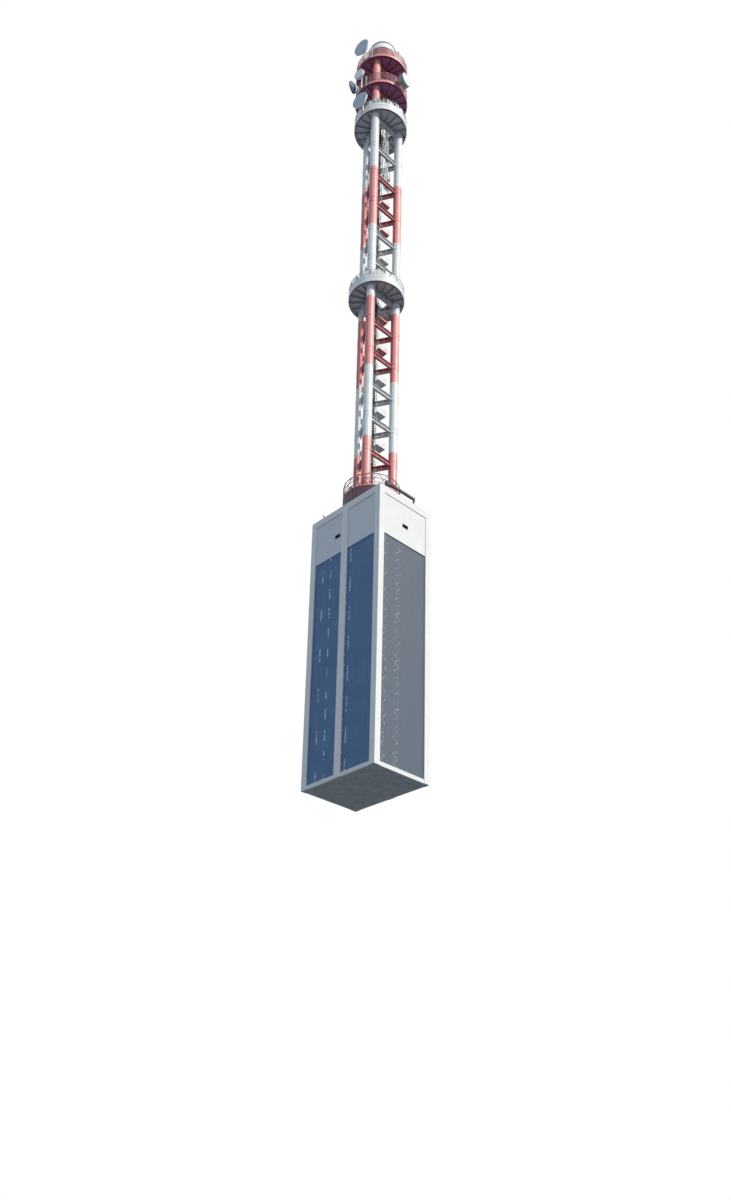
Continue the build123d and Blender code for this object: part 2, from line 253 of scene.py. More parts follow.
def downShadeMask(add):    # 1 on a soffit, 0 on walls and tops: the mask for painted shade
    height = add("SeparateXYZ", {0: add("NewGeometry", {}, "Normal")}, "Z")
    return add("MapRange", {0: height, 1: -0.35, 2: -0.8})


def layColours(add, colour, coats):    # each coat covers the colour where its mask is 1
    for mask, over in coats:
        colour = add("Mix", {"data_type": "RGBA", 0: mask, 6: colour, 7: over}, 2)
    return colour


def finishSurface(add, colour, relief, strength, depth, values):    # depth of the relief in millimetres
    normal = add("Bump", {"Strength": strength, "Distance": depth * mm, "Height": relief})
    shader = add("BsdfPrincipled", {"Base Color": colour, "Normal": normal} | values)
    add("OutputMaterial", {0: shader})


# The sun and the beams come first, because the paints need its side and their levels
light = {
    "azimuth": 280, "elevation": 38, "sun": 3.05, "sunColour": (1.0, 0.97, 0.91), "softness": 4,
    "above": 0.66, "below": 0.38, "sky": "#CADDF6"}
beams = {
    "first": 5360 * mm, "pitch": 615 * mm, "count": 11, "depth": 80 * mm, "flange": 40 * mm, "plate": 6 * mm,
    "sides": (270, 30, 150), "out": 160 * mm, "endPlate": 3 * mm, "endWide": 54 * mm, "endDeep": 92 * mm,
    "seat": 1.5 * mm, "edge": 0.6 * mm, "bolt": 3.2 * mm, "boltHigh": 3 * mm, "boltsAcross": (-0.36, 0.36),
    "boltsUp": (-0.32, 0.0, 0.32), "stiffeners": (-0.5, 0.0, 0.5), "stiffener": 3 * mm, "collar": 3 * mm,
    "collarHigh": 5 * mm, "collarBite": 1 * mm}
deckShadeEnd, deckShadeFull = 442 * mm, 436 * mm    # how far out a deck is painted darker: painted shade under it


# Alkyd paint brushed on steel long ago: chalky and mottled and drawn down by rain, with painted light
# and shade: paler on the side toward the sun, darker on soffits, under decks and between beam flanges
def brushedPaint(name, look):
    material, add, place = newMaterial(name)
    mottle = patches(add, place, look["mottle"], 0.3, 0.75)
    streaks = patches(add, place, look["streak"], 0.52, 0.85, 4.0, (1, 1, 0.05))
    coats = [(mottle, look["faded"])]
    # painted light: the side toward the sun is paler
    if look["bleached"]:
        pale, paler = look["bleached"]
        coats.append((sunSideMask(add), layColours(add, pale, [(mottle, paler)])))
    coats.append((add("Math", {"operation": "MULTIPLY", 0: streaks, 1: 0.6}), look["streaks"]))
    coats.append((patches(add, place, look["speck"], 0.72, 0.78, 2.0), look["specks"]))
    if look["pockets"]:    # painted shade between the flanges of the beams
        height = add("SeparateXYZ", {0: place}, "Z")
        lift = add("Math", {"operation": "SUBTRACT", 0: height, 1: beams["first"]})
        away = add("Math", {"operation": "PINGPONG", 0: lift, 1: beams["pitch"] / 2})
        inside = beams["depth"] / 2 - beams["plate"]
        coats.append((add("MapRange", {0: away, 1: inside, 2: inside - 2 * mm}), look["pockets"]))
    if look["grime"]:    # painted shade under a deck
        flat = add("Mapping", {"Vector": place, "Scale": (1, 1, 0)})
        away = add("VectorMath", {"operation": "LENGTH", 0: flat}, "Value")
        coats.append((add("MapRange", {0: away, 1: deckShadeEnd, 2: deckShadeFull}), look["grime"]))
    # painted shade on down-facing faces
    coats.append((downShadeMask(add), look["soffit"]))
    if look["above"]:    # another colour above a height
        height = add("SeparateXYZ", {0: place}, "Z")
        split, colour = look["above"]
        coats.append((add("Math", {"operation": "GREATER_THAN", 0: height, 1: split}), colour))
    least, most = look["rough"]
    rough = add("MapRange", {0: mottle, 3: least, 4: most})
    finishSurface(
        add, layColours(add, look["colour"], coats), grain(add, place, look["brush"], 2.0, (1, 1, 0.15)),
        0.2, 0.5, {"IOR": 1.6, "Roughness": rough})
    return material


# the paler pair of colours is painted light on the side toward the sun
redCoat = {
    "colour": "#B8545C", "faded": "#BF5C62", "bleached": ("#F09A92", "#F4A69C"), "streaks": "#BC5E5E",
    # the soffit colour is painted shade on down-facing faces
    "specks": "#A04A4C", "soffit": "#8E4258", "grime": None, "pockets": None, "above": None,
    "mottle": 110, "streak": 30, "speck": 9, "brush": 5, "rough": (0.36, 0.5)}
whiteCoat = redCoat | {
    "colour": "#E2E4E1", "faded": "#DADDDB", "bleached": ("#EAEAE4", "#E3E4DF"), "streaks": "#CFD1CE",
    "specks": "#BDB7AB", "soffit": "#A3A3A2"}
darkCoat = redCoat | {"bleached": None, "rough": (0.45, 0.62)}
paints = {
    "redAlkydPaint": redCoat,
    # the darker colour between the flanges is painted shade
    "redBeamPaint": redCoat | {"pockets": "#94424C"},
    # the darker colour under the deck is painted shade
    "redDeckPaint": redCoat | {"soffit": "#B0709A", "grime": "#8A4A60", "rough": (0.4, 0.55)},
    "maroonAlkydPaint": darkCoat | {
        "colour": "#744050", "faded": "#7E4856", "bleached": ("#A4626C", "#AE6C74"), "streaks": "#683646",
        "specks": "#5C3040", "soffit": "#5E2A3A"},
    # the drum's very dark maroon is painted shade on the red drum
    "drumAlkydPaint": darkCoat | {
        "colour": "#4C2C42", "faded": "#56344A", "streaks": "#402438", "specks": "#382032",
        "soffit": "#45283A"},
    "whiteAlkydPaint": whiteCoat,
    "whiteBeamPaint": whiteCoat | {"pockets": "#A9ADB1"},
    "whiteDeckPaint": whiteCoat | {"soffit": "#BEB8B8", "grime": "#8C8B92", "rough": (0.4, 0.55)},
    "greyPrimer": darkCoat | {
        "colour": "#8A9098", "faded": "#989DA3", "streaks": "#747A82", "specks": "#6E655E",
        "soffit": "#5C6068", "mottle": 60, "streak": 20},
    "darkMachinePaint": darkCoat | {
        "colour": "#2A313B", "faded": "#353D48", "streaks": "#20262E", "specks": "#4A4038",
        "soffit": "#20252D", "mottle": 60, "streak": 20},
}


# Glass-fibre and coated shells of the dishes: smooth, satin, faintly dirty below
def shellCoat(name, look):
    material, add, place = newMaterial(name)
    colour = layColours(add, look["colour"], (
        (patches(add, place, 55, 0.3, 0.75), look["faded"]),
        (patches(add, place, 16, 0.58, 0.85, 3.0, (1, 1, 0.08)), look["streaks"])))
    finishSurface(add, colour, grain(add, place, 8), 0.1, 0.4, {"IOR": 1.5, "Roughness": look["rough"]})
    return material


shells = {
    "greyRadome": {"colour": "#B4C4D0", "faded": "#A8BAC8", "streaks": "#95A7B5", "rough": 0.5},
    "creamRadome": {"colour": "#FDFCF0", "faded": "#F6F5E9", "streaks": "#E4E4D8", "rough": 0.5},
    "sunlitRadome": {"colour": "#ECECE2", "faded": "#E5E6DC", "streaks": "#D6D7CE", "rough": 0.5},
    # the edge-on dish's dark blue is painted shade
    "darkRadome": {"colour": "#5E7488", "faded": "#54697D", "streaks": "#47596B", "rough": 0.55},
    "whiteShell": {"colour": "#EFF1EF", "faded": "#E4E7E6", "streaks": "#CED3D3", "rough": 0.45},
    "greenGreyShell": {"colour": "#98A09E", "faded": "#8A9392", "streaks": "#747E7E", "rough": 0.55},
    "clearRedGlass": {"colour": "#B5322C", "faded": "#A52A28", "streaks": "#8C2324", "rough": 0.15},
    "lampGlass": {"colour": "#F4F2E6", "faded": "#EDEBDE", "streaks": "#DCDACB", "rough": 0.12},
    # the sealant's grey is partly painted shade, the recess's shadow line
    "rubberSealant": {"colour": "#C2C4C2", "faded": "#B9BCBB", "streaks": "#ABAFAF", "rough": 0.8},
    # the black behind the vents is painted shade
    "sootBlack": {"colour": "#1E2126", "faded": "#25292F", "streaks": "#17191D", "rough": 0.9},
}


# Hot-dip zinc: dull grey with a faint spangle
def hotDipZinc(name, look):
    material, add, place = newMaterial(name)
    spangle = add("TexVoronoi", {"Vector": place, "Scale": 1 / (look["spangle"] * mm)}, "Color")
    grey = layColours(add, look["colour"], [(patches(add, place, 40, 0.3, 0.7), look["second"])])
    colour = add("Mix", {"data_type": "RGBA", "blend_type": "OVERLAY", 0: 0.12, 6: grey, 7: spangle}, 2)
    rough = add("MapRange", {0: grain(add, place, 12), 1: 0.3, 2: 0.7, 3: 0.42, 4: 0.58})
    shader = add("BsdfPrincipled", {"Base Color": colour, "Metallic": 0.7, "Roughness": rough})
    add("OutputMaterial", {0: shader})
    return material


zinc = {"hotDipZinc": {"colour": "#8D9296", "second": "#A3A7A9", "spangle": 7}}


# Precast panels with a smooth painted face, rain marks below the edges, painted shade on down-facing faces,
# and joints on the piers
def paintedPrecast(name, look):
    material, add, place = newMaterial(name)
    coats = [
        (patches(add, place, 260, 0.3, 0.7), look["second"]),
        (patches(add, place, 34, 0.6, 0.95, 4.0, (1, 1, 0.04)), look["streaks"]),
        # painted shade on down-facing faces
        (downShadeMask(add), "#B9B9B5")]
    if look["joint"]:
        height = add("SeparateXYZ", {0: place}, "Z")
        storey = add("Math", {"operation": "PINGPONG", 0: height, 1: look["storey"] / 2})
        line = add("Math", {"operation": "LESS_THAN", 0: storey, 1: look["joint"] / 2})
        coats.append((add("Math", {"operation": "MULTIPLY", 0: line, 1: 0.45}), "#A3A6A8"))
    colour = layColours(add, look["colour"], coats)
    finishSurface(add, colour, grain(add, place, 4, 2.0), 0.12, 0.5, {"Roughness": 0.7, "IOR": 1.5})
    return material


precast = {
    "paintedPrecast": {"colour": "#E9E8E0", "second": "#E4E3DC", "streaks": "#D3D3CD", "joint": None},
    # the side walls get a greyer, bluer copy of the front's white: painted shade
    "greyPrecast": {"colour": "#DBDDDC", "second": "#D5D7D7", "streaks": "#C6C9CA", "joint": None},
    "jointedPrecast": {
        "colour": "#EDECE4", "second": "#E8E7E0", "streaks": "#D8D8D2", "storey": 330 * mm, "joint": 3 * mm},
}


# Plain cast concrete, grey and slightly blotched
def castConcrete(name, look):
    material, add, place = newMaterial(name)
    colour = layColours(add, look["colour"], [(patches(add, place, 120, 0.3, 0.7, 5.0), look["second"])])
    finishSurface(add, colour, grain(add, place, 5), 0.3, 1.0, {"Roughness": 0.85})
    return material


concrete = {"castConcrete": {"colour": "#9C9C98", "second": "#B4B3AE"}}


# Coated woven mesh: too fine to see, so it is a dark sheet with bands as wide as a metre of the real
# one, and pale broken marks in columns where lit steel behind it shows through
marks = {"spot": (0.8, 0.5), "stroke": (18 * mm, 10 * mm), "fade": 0.08, "thread": 3 * mm}


def wovenMesh(name, look):
    material, add, place = newMaterial(name)
    across, up = (add("SeparateXYZ", {0: place}, axis) for axis in (look["across"], "Z"))
    drift = grain(add, place, 300)
    phase = add("Math", {"operation": "MULTIPLY", 0: across, 1: math.tau / look["band"]})
    wave = add("Math", {"operation": "SINE", 0: phase})
    bands = add("Math", {"operation": "MULTIPLY_ADD", 0: drift, 1: 2.0, 2: wave})
    coats = [
        (add("MapRange", {0: bands, 2: 2.0}), look["second"]),
        (add("MapRange", {0: drift, 1: 0.35, 2: 0.7}), look["third"])]
    broken = patches(
        add, place, look["grain"], look["gaps"], look["gaps"] + marks["fade"], 2.0, (1, 1, 0.55))
    for column in look["columns"]:
        half = column["wide"] / 2
        beside = add("Math", {"operation": "MULTIPLY_ADD", 0: across, 1: 1 / half, 2: -column["at"] / half})
        climb = add("Math", {"operation": "WRAP", 0: up, 1: column["pitch"], 2: 0.0})
        group = add("Math", {"operation": "LESS_THAN", 0: climb, 1: column["share"] * column["pitch"]})
        swing = add("Math", {"operation": "PINGPONG", 0: up, 1: column["swing"]})
        level = add("Math", {"operation": "MULTIPLY_ADD", 0: swing, 1: 2 / column["swing"], 2: -1.0})
        if column["kind"] == "spots":
            square = add("Math", {"operation": "MULTIPLY", 0: beside, 1: beside})
            away = add("Math", {"operation": "MULTIPLY_ADD", 0: level, 1: level, 2: square})
            outer, inner = marks["spot"]
            shape = add("MapRange", {0: away, 1: outer, 2: inner})
        else:    # slanting strokes, up one way and then the other
            off = add("Math", {"operation": "SUBTRACT", 0: beside, 1: level})
            off = add("Math", {"operation": "ABSOLUTE", 0: off})
            outer, inner = marks["stroke"]
            shape = add("MapRange", {0: off, 1: outer / half, 2: inner / half})
        lit = column["strength"]
        for part in (shape, group, broken):
            lit = add("Math", {"operation": "MULTIPLY", 0: lit, 1: part})
        coats.append((lit, look["mark"]))
    weave = 1e5
    for thread in (across, up):
        ridge = add("Math", {"operation": "PINGPONG", 0: thread, 1: marks["thread"]})
        weave = add("Math", {"operation": "MULTIPLY", 0: weave, 1: ridge})
    finishSurface(add, layColours(add, look["colour"], coats), weave, 0.3, 0.5, {"Roughness": 0.55})
    return material


meshes = {
    # the side screens' navy is partly the mesh's coating and partly painted sky reflection and shade
    "navyMesh": {
        "across": "Y", "band": 96 * mm, "grain": 30, "gaps": 0.42, "colour": "#547AA2", "second": "#5A80A6",
        "third": "#4E739A", "mark": "#E8EEF2", "columns": [
            {"kind": "spots", "at": 462 * mm, "wide": 36 * mm, "swing": 33 * mm, "pitch": 640 * mm,
             "share": 0.34, "strength": 1.0},
            {"kind": "spots", "at": 296 * mm, "wide": 32 * mm, "swing": 29 * mm, "pitch": 320 * mm,
             "share": 0.5, "strength": 1.0},
            {"kind": "spots", "at": -128 * mm, "wide": 28 * mm, "swing": 31 * mm, "pitch": 470 * mm,
             "share": 0.5, "strength": 0.9}]},
    "greyMesh": {
        "across": "X", "band": 98 * mm, "grain": 26, "gaps": 0.5, "colour": "#566A82", "second": "#6E6962",
        "third": "#5D6A78", "mark": "#AEB4B8", "columns": [
            {"kind": "strokes", "at": -355 * mm, "wide": 60 * mm, "swing": 58 * mm, "pitch": 310 * mm,
             "share": 0.8, "strength": 0.6},
            {"kind": "strokes", "at": -118 * mm, "wide": 84 * mm, "swing": 62 * mm, "pitch": 370 * mm,
             "share": 0.85, "strength": 0.75}]},
}


# Polyethylene cable jacket, extruded: satin, finely ridged, a little dusty
def extrudedJacket(name, look):
    material, add, place = newMaterial(name)
    colour = layColours(add, look["colour"], [(patches(add, place, 30, 0.3, 0.7), look["second"])])
    ridge = add("Math", {"operation": "PINGPONG", 0: add("SeparateXYZ", {0: place}, "Z"), 1: 3 * mm})
    ridge = add("Math", {"operation": "MULTIPLY", 0: ridge, 1: 300.0})
    finishSurface(add, colour, ridge, 0.4, 0.6, {"Roughness": 0.5})
    return material


jackets = {
    "blackJacket": {"colour": "#26282B", "second": "#34363A"},
    "paleJacket": {"colour": "#DEDED8", "second": "#CDCFCE"},
}

materials = {}
for make, looks in (
        (brushedPaint, paints), (shellCoat, shells), (hotDipZinc, zinc), (paintedPrecast, precast),
        (castConcrete, concrete), (wovenMesh, meshes), (extrudedJacket, jackets)):
    for name, look in looks.items():
        materials[name] = make(name, look)
print("materials ready")

slotFinish = {
    "white_cladding": "paintedPrecast", "concrete": "castConcrete", "frame_steel": "greyPrimer",
    "red_paint": "redAlkydPaint", "white_paint": "whiteAlkydPaint", "galvanised": "hotDipZinc",
    "feeder_jacket": "blackJacket", "waveguide_jacket": "paleJacket", "dish_shell": "whiteShell",
    "screen_mesh": "navyMesh",
}
nodeFinish = {
    "screen_front": "greyMesh", "screen_rear": "greyMesh", "gantry_rail": "darkMachinePaint",
    "corner_piers": "jointedPrecast", "mid_piers": "jointedPrecast", "base_drum": "drumAlkydPaint",
    "beams_red": "redBeamPaint", "beams_white": "whiteBeamPaint", "wall_left": "greyPrecast",
    "wall_right": "greyPrecast", "mid_deck": "whiteDeckPaint", "upper_deck": "whiteDeckPaint",
    "head_deck": "redDeckPaint", "top_deck": "redDeckPaint", "lamps": "darkMachinePaint",
    "lamp_drum": "darkMachinePaint",
}
slots = {part["node"]: part["material_slot"] for part in frame["record"]["subparts"]}
for name, obj in nodes.items():
    obj.data.materials.clear()
    obj.data.materials.append(materials[nodeFinish.get(name) or slotFinish[slots[name]]])


def finishPiece(obj, material, slot):
    obj.data.materials.clear()
    obj.data.materials.append(materials[material])
    pick(obj)
    bpy.ops.object.shade_smooth_by_angle(angle=math.radians(35))    # sharper edges stay crisp
    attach(obj, "root")
    return obj


paintOf = {"red": ("redAlkydPaint", "red_paint"), "white": ("whiteAlkydPaint", "white_paint")}
bandEdges = [sizeOf(f"legs_band_{n}")[1].z for n in range(1, 8)]


def bandAt(z):    # the colour band that a height falls in
    return "white" if sum(z > edge for edge in bandEdges) % 2 else "red"


# The four faces of the shaft: their word, the axis that they face along, and which way
faces = (("left", 0, -1), ("right", 0, 1), ("front", 1, -1), ("rear", 1, 1))


def baysOf(node, axis):    # a wide face is parted by its mid pier
    low, high = sizeOf(node)
    pier = sizeOf("mid_piers")[1].y
    return [(low.x, high.x)] if axis else [(low.y, -pier), (pier, high.y)]


def faceBar(node, axis, side, span, heights, proud):    # a bar on the outer face of a wall or screen
    low, high = sizeOf(node)
    face = low[axis] if side < 0 else high[axis]
    first, second = [face, face, heights[0]], [face + side * proud, face + side * proud, heights[1]]
    first[1 - axis], second[1 - axis] = span
    return barPiece("bar", first, second)


# Screens: upright wires in front of each sheet, coarser than the real ones so that they show,
# with a flat edge strip round each bay
screens = {"pitch": 12 * mm, "wire": 5 * mm, "proud": 1.5 * mm, "strip": 8 * mm, "stripProud": 5 * mm}


def screenWires(node, axis, side):
    low, high = sizeOf(node)
    half, strip = screens["wire"] / 2, screens["strip"]
    made = []
    for start, end in baysOf(node, axis):
        count = round((end - start) / screens["pitch"]) - 1
        step = (end - start) / (count + 1)
        wire = faceBar(
            node, axis, side, (start + step - half, start + step + half), (low.z, high.z), screens["proud"])
        made.append(rowOf(wire, count, (0, step, 0) if axis == 0 else (step, 0, 0)))
        for span, heights in (
                ((start, start + strip), (low.z, high.z)), ((end - strip, end), (low.z, high.z)),
                ((start, end), (low.z, low.z + strip)), ((start, end), (high.z - strip, high.z))):
            made.append(faceBar(node, axis, side, span, heights, screens["stripProud"]))
    return joinPieces(made, node + "_wires")


for word, axis, side in faces:
    node = f"screen_{word}" if axis else f"screens_{word}"
    finishPiece(screenWires(node, axis, side), "greyMesh" if axis else "navyMesh", "screen_mesh")
print("screens done")

# Sealant in the recess round each upper wall, its grey partly painted shade of the recess; louvres in the
# vents, with painted shade behind them; clips along the mid piers
sealShadeLines = {"wide": 7 * mm, "proud": 2 * mm}
vents = {
    "wide": 110 * mm, "high": 62 * mm, "z": 3860 * mm, "left": 152 * mm, "blades": 5, "blade": 1.6 * mm,
    "deep": 14 * mm, "tilt": 38, "set": 8 * mm, "frame": 4 * mm, "frameY": (-2 * mm, 6 * mm),
    "back": 18 * mm, "backThick": 1.5 * mm}
clips = {
    "wide": 9 * mm, "deep": 16 * mm, "high": 26 * mm, "pitch": 165 * mm, "inset": 4 * mm, "edge": 1.5 * mm}


# grey strips in each recess corner: sealant, and painted shade of the recess
def wallSealsAndShadeLines():
    wide = sealShadeLines["wide"]
    made = []
    for word, axis, side in faces:
        node = f"wall_{word}"
        low, high = sizeOf(node)
        for start, end in baysOf(node, axis):
            for span, heights in (
                    ((start, end), (high.z - wide, high.z)), ((start, start + wide), (low.z, high.z)),
                    ((end - wide, end), (low.z, high.z))):
                made.append(faceBar(node, axis, side, span, heights, sealShadeLines["proud"]))
    return joinPieces(made, "wall_seals_and_shade_lines")


def ventFitting():    # modelled facing -Y at the origin
    wide, high, edge = vents["wide"] / 2, vents["high"] / 2, vents["frame"]
    y0, y1 = vents["frameY"]
    made = [barPiece("edge", (x0, y0, z0), (x1, y1, z1)) for x0, z0, x1, z1 in (
        (-wide, high - edge, wide, high), (-wide, -high, wide, edge - high),
        (-wide, -high, edge - wide, high), (wide - edge, -high, wide, high))]
    half = Vector((wide, vents["deep"] / 2, vents["blade"] / 2))
    tilt = Matrix.Rotation(math.radians(vents["tilt"]), 4, "X")
    step = vents["high"] / vents["blades"]
    heights = [(n + 0.5) * step - high for n in range(vents["blades"])]
    places = [Matrix.Translation((0, vents["set"], z)) @ tilt for z in heights]
    return joinPieces([*made, copiesAt(barPiece("blade", -half, half), places, "blades")], "vent")


# a black plate behind the louvres: painted shade inside the vent
def ventShadeBack():
    wide, high, back = vents["wide"] / 2, vents["high"] / 2, vents["back"]
    return barPiece("back", (-wide, back, -high), (wide, back + vents["backThick"], high))


def pierClips():
    low, high = sizeOf("mid_piers")
    x, pitch = low.x + clips["inset"], clips["pitch"]
    outer = (x + clips["deep"], high.y + clips["wide"], pitch + clips["high"])
    clip = barPiece("clip", (x, high.y, pitch), outer, clips["edge"])
    clip = rowOf(clip, int((sizeOf("screens_left")[1].z - 2 * pitch) / pitch), (0, 0, pitch))
    flips = [Matrix.Diagonal((x, y, 1, 1)) for x in (1, -1) for y in (1, -1)]
    return faceOutward(copiesAt(clip, flips, "pier_clips"))


ventPlaces = [
    Matrix.Translation((0, sizeOf("wall_front")[0].y, vents["z"])),
    Matrix.Translation((sizeOf("wall_left")[0].x, vents["left"], vents["z"])) @ turnAbout(-90)]
finishPiece(wallSealsAndShadeLines(), "rubberSealant", "white_cladding")
finishPiece(copiesAt(ventFitting(), ventPlaces, "vent_louvres"), "darkMachinePaint", "frame_steel")
finishPiece(copiesAt(ventShadeBack(), ventPlaces, "vent_shade_backs"), "sootBlack", "frame_steel")
finishPiece(pierClips(), "paintedPrecast", "white_cladding")

# Folded metal caps along the coping, with raised joints, inside its outer faces
caps = {"thick": 3 * mm, "joint": 6 * mm, "jointProud": 1 * mm, "pitch": 240 * mm, "wide": 30 * mm}


def copingCaps():
    corner = sizeOf("corner_piers")[1]
    made = []

    def capBar(axis, side, start, end, high):
        first, second = [start, start, corner.z], [end, end, corner.z + high]
        first[1 - axis] = side * corner[1 - axis]
        second[1 - axis] = side * (corner[1 - axis] - caps["wide"])
        made.append(barPiece("cap", first, second))

    for axis in (0, 1):
        reach = corner[axis]
        stop = reach - axis * caps["wide"]    # those along Y stop at those along X
        count = int(2 * reach / caps["pitch"])
        for side in (-1, 1):
            capBar(axis, side, -stop, stop, caps["thick"])
            for n in range(1, count + 1):
                at = -reach + n * 2 * reach / (count + 1)
                capBar(axis, side, at, at + caps["joint"], caps["thick"] + caps["jointProud"])
    return joinPieces(made, "coping_caps")


finishPiece(copingCaps(), "hotDipZinc", "galvanised")

# Rail over the front coping: flanges, stiffeners, a winch at one end and a hook below the trolley
gantry = {
    "rail": 26 * mm, "flange": 4 * mm, "lip": 5 * mm, "lowFlangeStop": 30 * mm, "stiffener": 2 * mm,
    "first": 20 * mm, "pitch": 49 * mm, "winchX": 6 * mm, "winch": (60 * mm, 30 * mm),
    "winchY": (2 * mm, 8 * mm), "winchEdge": 2 * mm, "drum": 13 * mm, "drumX": (62 * mm, 88 * mm),
    "drumY": 6 * mm, "drumDrop": 17 * mm, "hookX": 13 * mm, "hookY": 6 * mm, "hookZ": 36 * mm,
    "rope": 1.2 * mm, "ropeLong": 14 * mm, "hook": (5 * mm, 1.6 * mm)}


def gantryFittings():
    low, high = sizeOf("gantry_rail")
    under = high.z - gantry["rail"]
    y0, y1 = low.y, low.y + gantry["rail"]
    flange, lip = gantry["flange"], y1 + gantry["lip"]
    made = [
        barPiece("flange", (low.x, y0, high.z), (high.x, lip, high.z + flange)),
        barPiece("flange", (low.x, y0, under - flange), (high.x - gantry["lowFlangeStop"], lip, under))]
    x = low.x + gantry["first"]
    plate = barPiece("plate", (x, y1, under), (x + gantry["stiffener"], lip, high.z))
    made.append(rowOf(
        plate, int((high.x - low.x - 2 * gantry["first"]) / gantry["pitch"]), (gantry["pitch"], 0, 0)))
    x = low.x + gantry["winchX"]
    (wide, deep), (inset, out) = gantry["winch"], gantry["winchY"]
    made.append(barPiece(
        "winch", (x, y0 + inset, under - deep), (x + wide, y1 + out, under - flange), gantry["winchEdge"]))
    start, end = (
        (x + along, y1 - gantry["drumY"], under - gantry["drumDrop"]) for along in gantry["drumX"])
    made.append(rodPiece("drum", gantry["drum"], start, end, 20))
    hook = Vector((high.x - gantry["hookX"], y0 + gantry["hookY"], low.z + gantry["hookZ"]))
    made.append(rodPiece("rope", gantry["rope"], hook, hook + Vector((0, 0, gantry["ropeLong"])), 8))
    major, minor = gantry["hook"]
    bpy.ops.mesh.primitive_torus_add(
        major_radius=major, minor_radius=minor, location=hook - Vector((0, 0, major)),
        rotation=(math.radians(90), 0, 0), major_segments=20, minor_segments=8)
    made.append(settle(bpy.context.object, "hook"))
    return joinPieces(made, "gantry_fittings")


finishPiece(gantryFittings(), "darkMachinePaint", "frame_steel")
print("shaft fittings done")

# Base drum: a kerb and a foot flange, and upright stiffeners between them
drum = {
    "lip": 3 * mm, "foot": 14 * mm, "footInset": 4 * mm, "kerb": 16 * mm, "kerbInset": 8 * mm,
    "kerbRise": 3 * mm, "ribs": 36, "turn": 5, "rib": 4 * mm, "ribProud": 2 * mm, "steps": 144}


def drumTrim():
    low, high = sizeOf("base_drum")
    r, half, proud = high.x, drum["rib"] / 2, drum["ribProud"]
    flat = r * math.cos(math.radians(drum["turn"]))    # the drum's flats lie inside its corners
    rib = barPiece("rib", (flat - proud, -half, low.z), (r + proud, half, high.z - drum["kerb"]))
    foot = ringPiece(
        "foot", r - drum["footInset"], r + drum["lip"], low.z, low.z + drum["foot"], drum["steps"])
    return joinPieces([foot, copiesAt(rib, turnsOf(drum["ribs"], drum["turn"]), "ribs")], "drum_trim")


def drumKerb():
    r, top = sizeOf("base_drum")[1].xz
    return ringPiece(
        "drum_kerb", r - drum["kerbInset"], r + drum["lip"], top - drum["kerb"], top + drum["kerbRise"],
        drum["steps"])


finishPiece(drumTrim(), "drumAlkydPaint", "red_paint")
finishPiece(drumKerb(), "redAlkydPaint", "red_paint")

# Ring decks: a smooth fascia with seams, stringers, collars and cleats below the plate, a hatch frame
legs = {"circle": 320 * mm, "radius": 69 * mm, "angles": (210, 330, 90)}
legPlaces = [Matrix.Translation(polarPoint(legs["circle"], angle, 0)) for angle in legs["angles"]]
ringDecks = {
    "gap": 0.3 * mm, "skin": 1.2 * mm, "lip": 7 * mm, "fold": 2 * mm, "foldHigh": 3 * mm, "slope": 1 * mm,
    "seams": 18, "seam": 3 * mm, "seamProud": 1 * mm, "turn": 5, "steps": 144, "plate": 34 * mm,
    "stringers": (205 * mm, 408 * mm), "stringer": 5 * mm, "stringerDeep": 22 * mm, "collarGap": 0.4 * mm,
    "collar": 8 * mm, "collarDeep": 10 * mm, "cleats": 18, "cleatTurn": 10, "cleatX": (60 * mm, 10 * mm),
    "cleatY": (3 * mm, 5 * mm), "cleatZ": 2 * mm, "hatch": (-70 * mm, -85 * mm, 190 * mm, 45 * mm),
    "hatchEdge": 5 * mm, "hatchZ": (-16 * mm, 14 * mm)}


def deckFascia(node):
    low, high = sizeOf(node)
    r = high.x + ringDecks["gap"]
    skin, inner, tall = r + ringDecks["skin"], r - ringDecks["lip"], ringDecks["foldHigh"]
    fold, slope = skin + ringDecks["fold"], tall + ringDecks["slope"]
    foot, top = low.z - ringDecks["fold"], high.z + ringDecks["slope"]
    profile = [
        (r, low.z), (inner, foot), (fold, foot), (fold, low.z + tall), (skin, low.z + slope),
        (skin, high.z - slope), (fold, high.z - tall), (fold, top), (inner, top), (r, high.z)]
    band = turnedPiece("band", profile, ringDecks["steps"], True)
    half = ringDecks["seam"] / 2
    seam = barPiece("seam", (r, -half, low.z + tall), (skin + ringDecks["seamProud"], half, high.z - tall))
    seams = copiesAt(seam, turnsOf(ringDecks["seams"], ringDecks["turn"]), "seams")
    return joinPieces([band, seams], node + "_fascia")


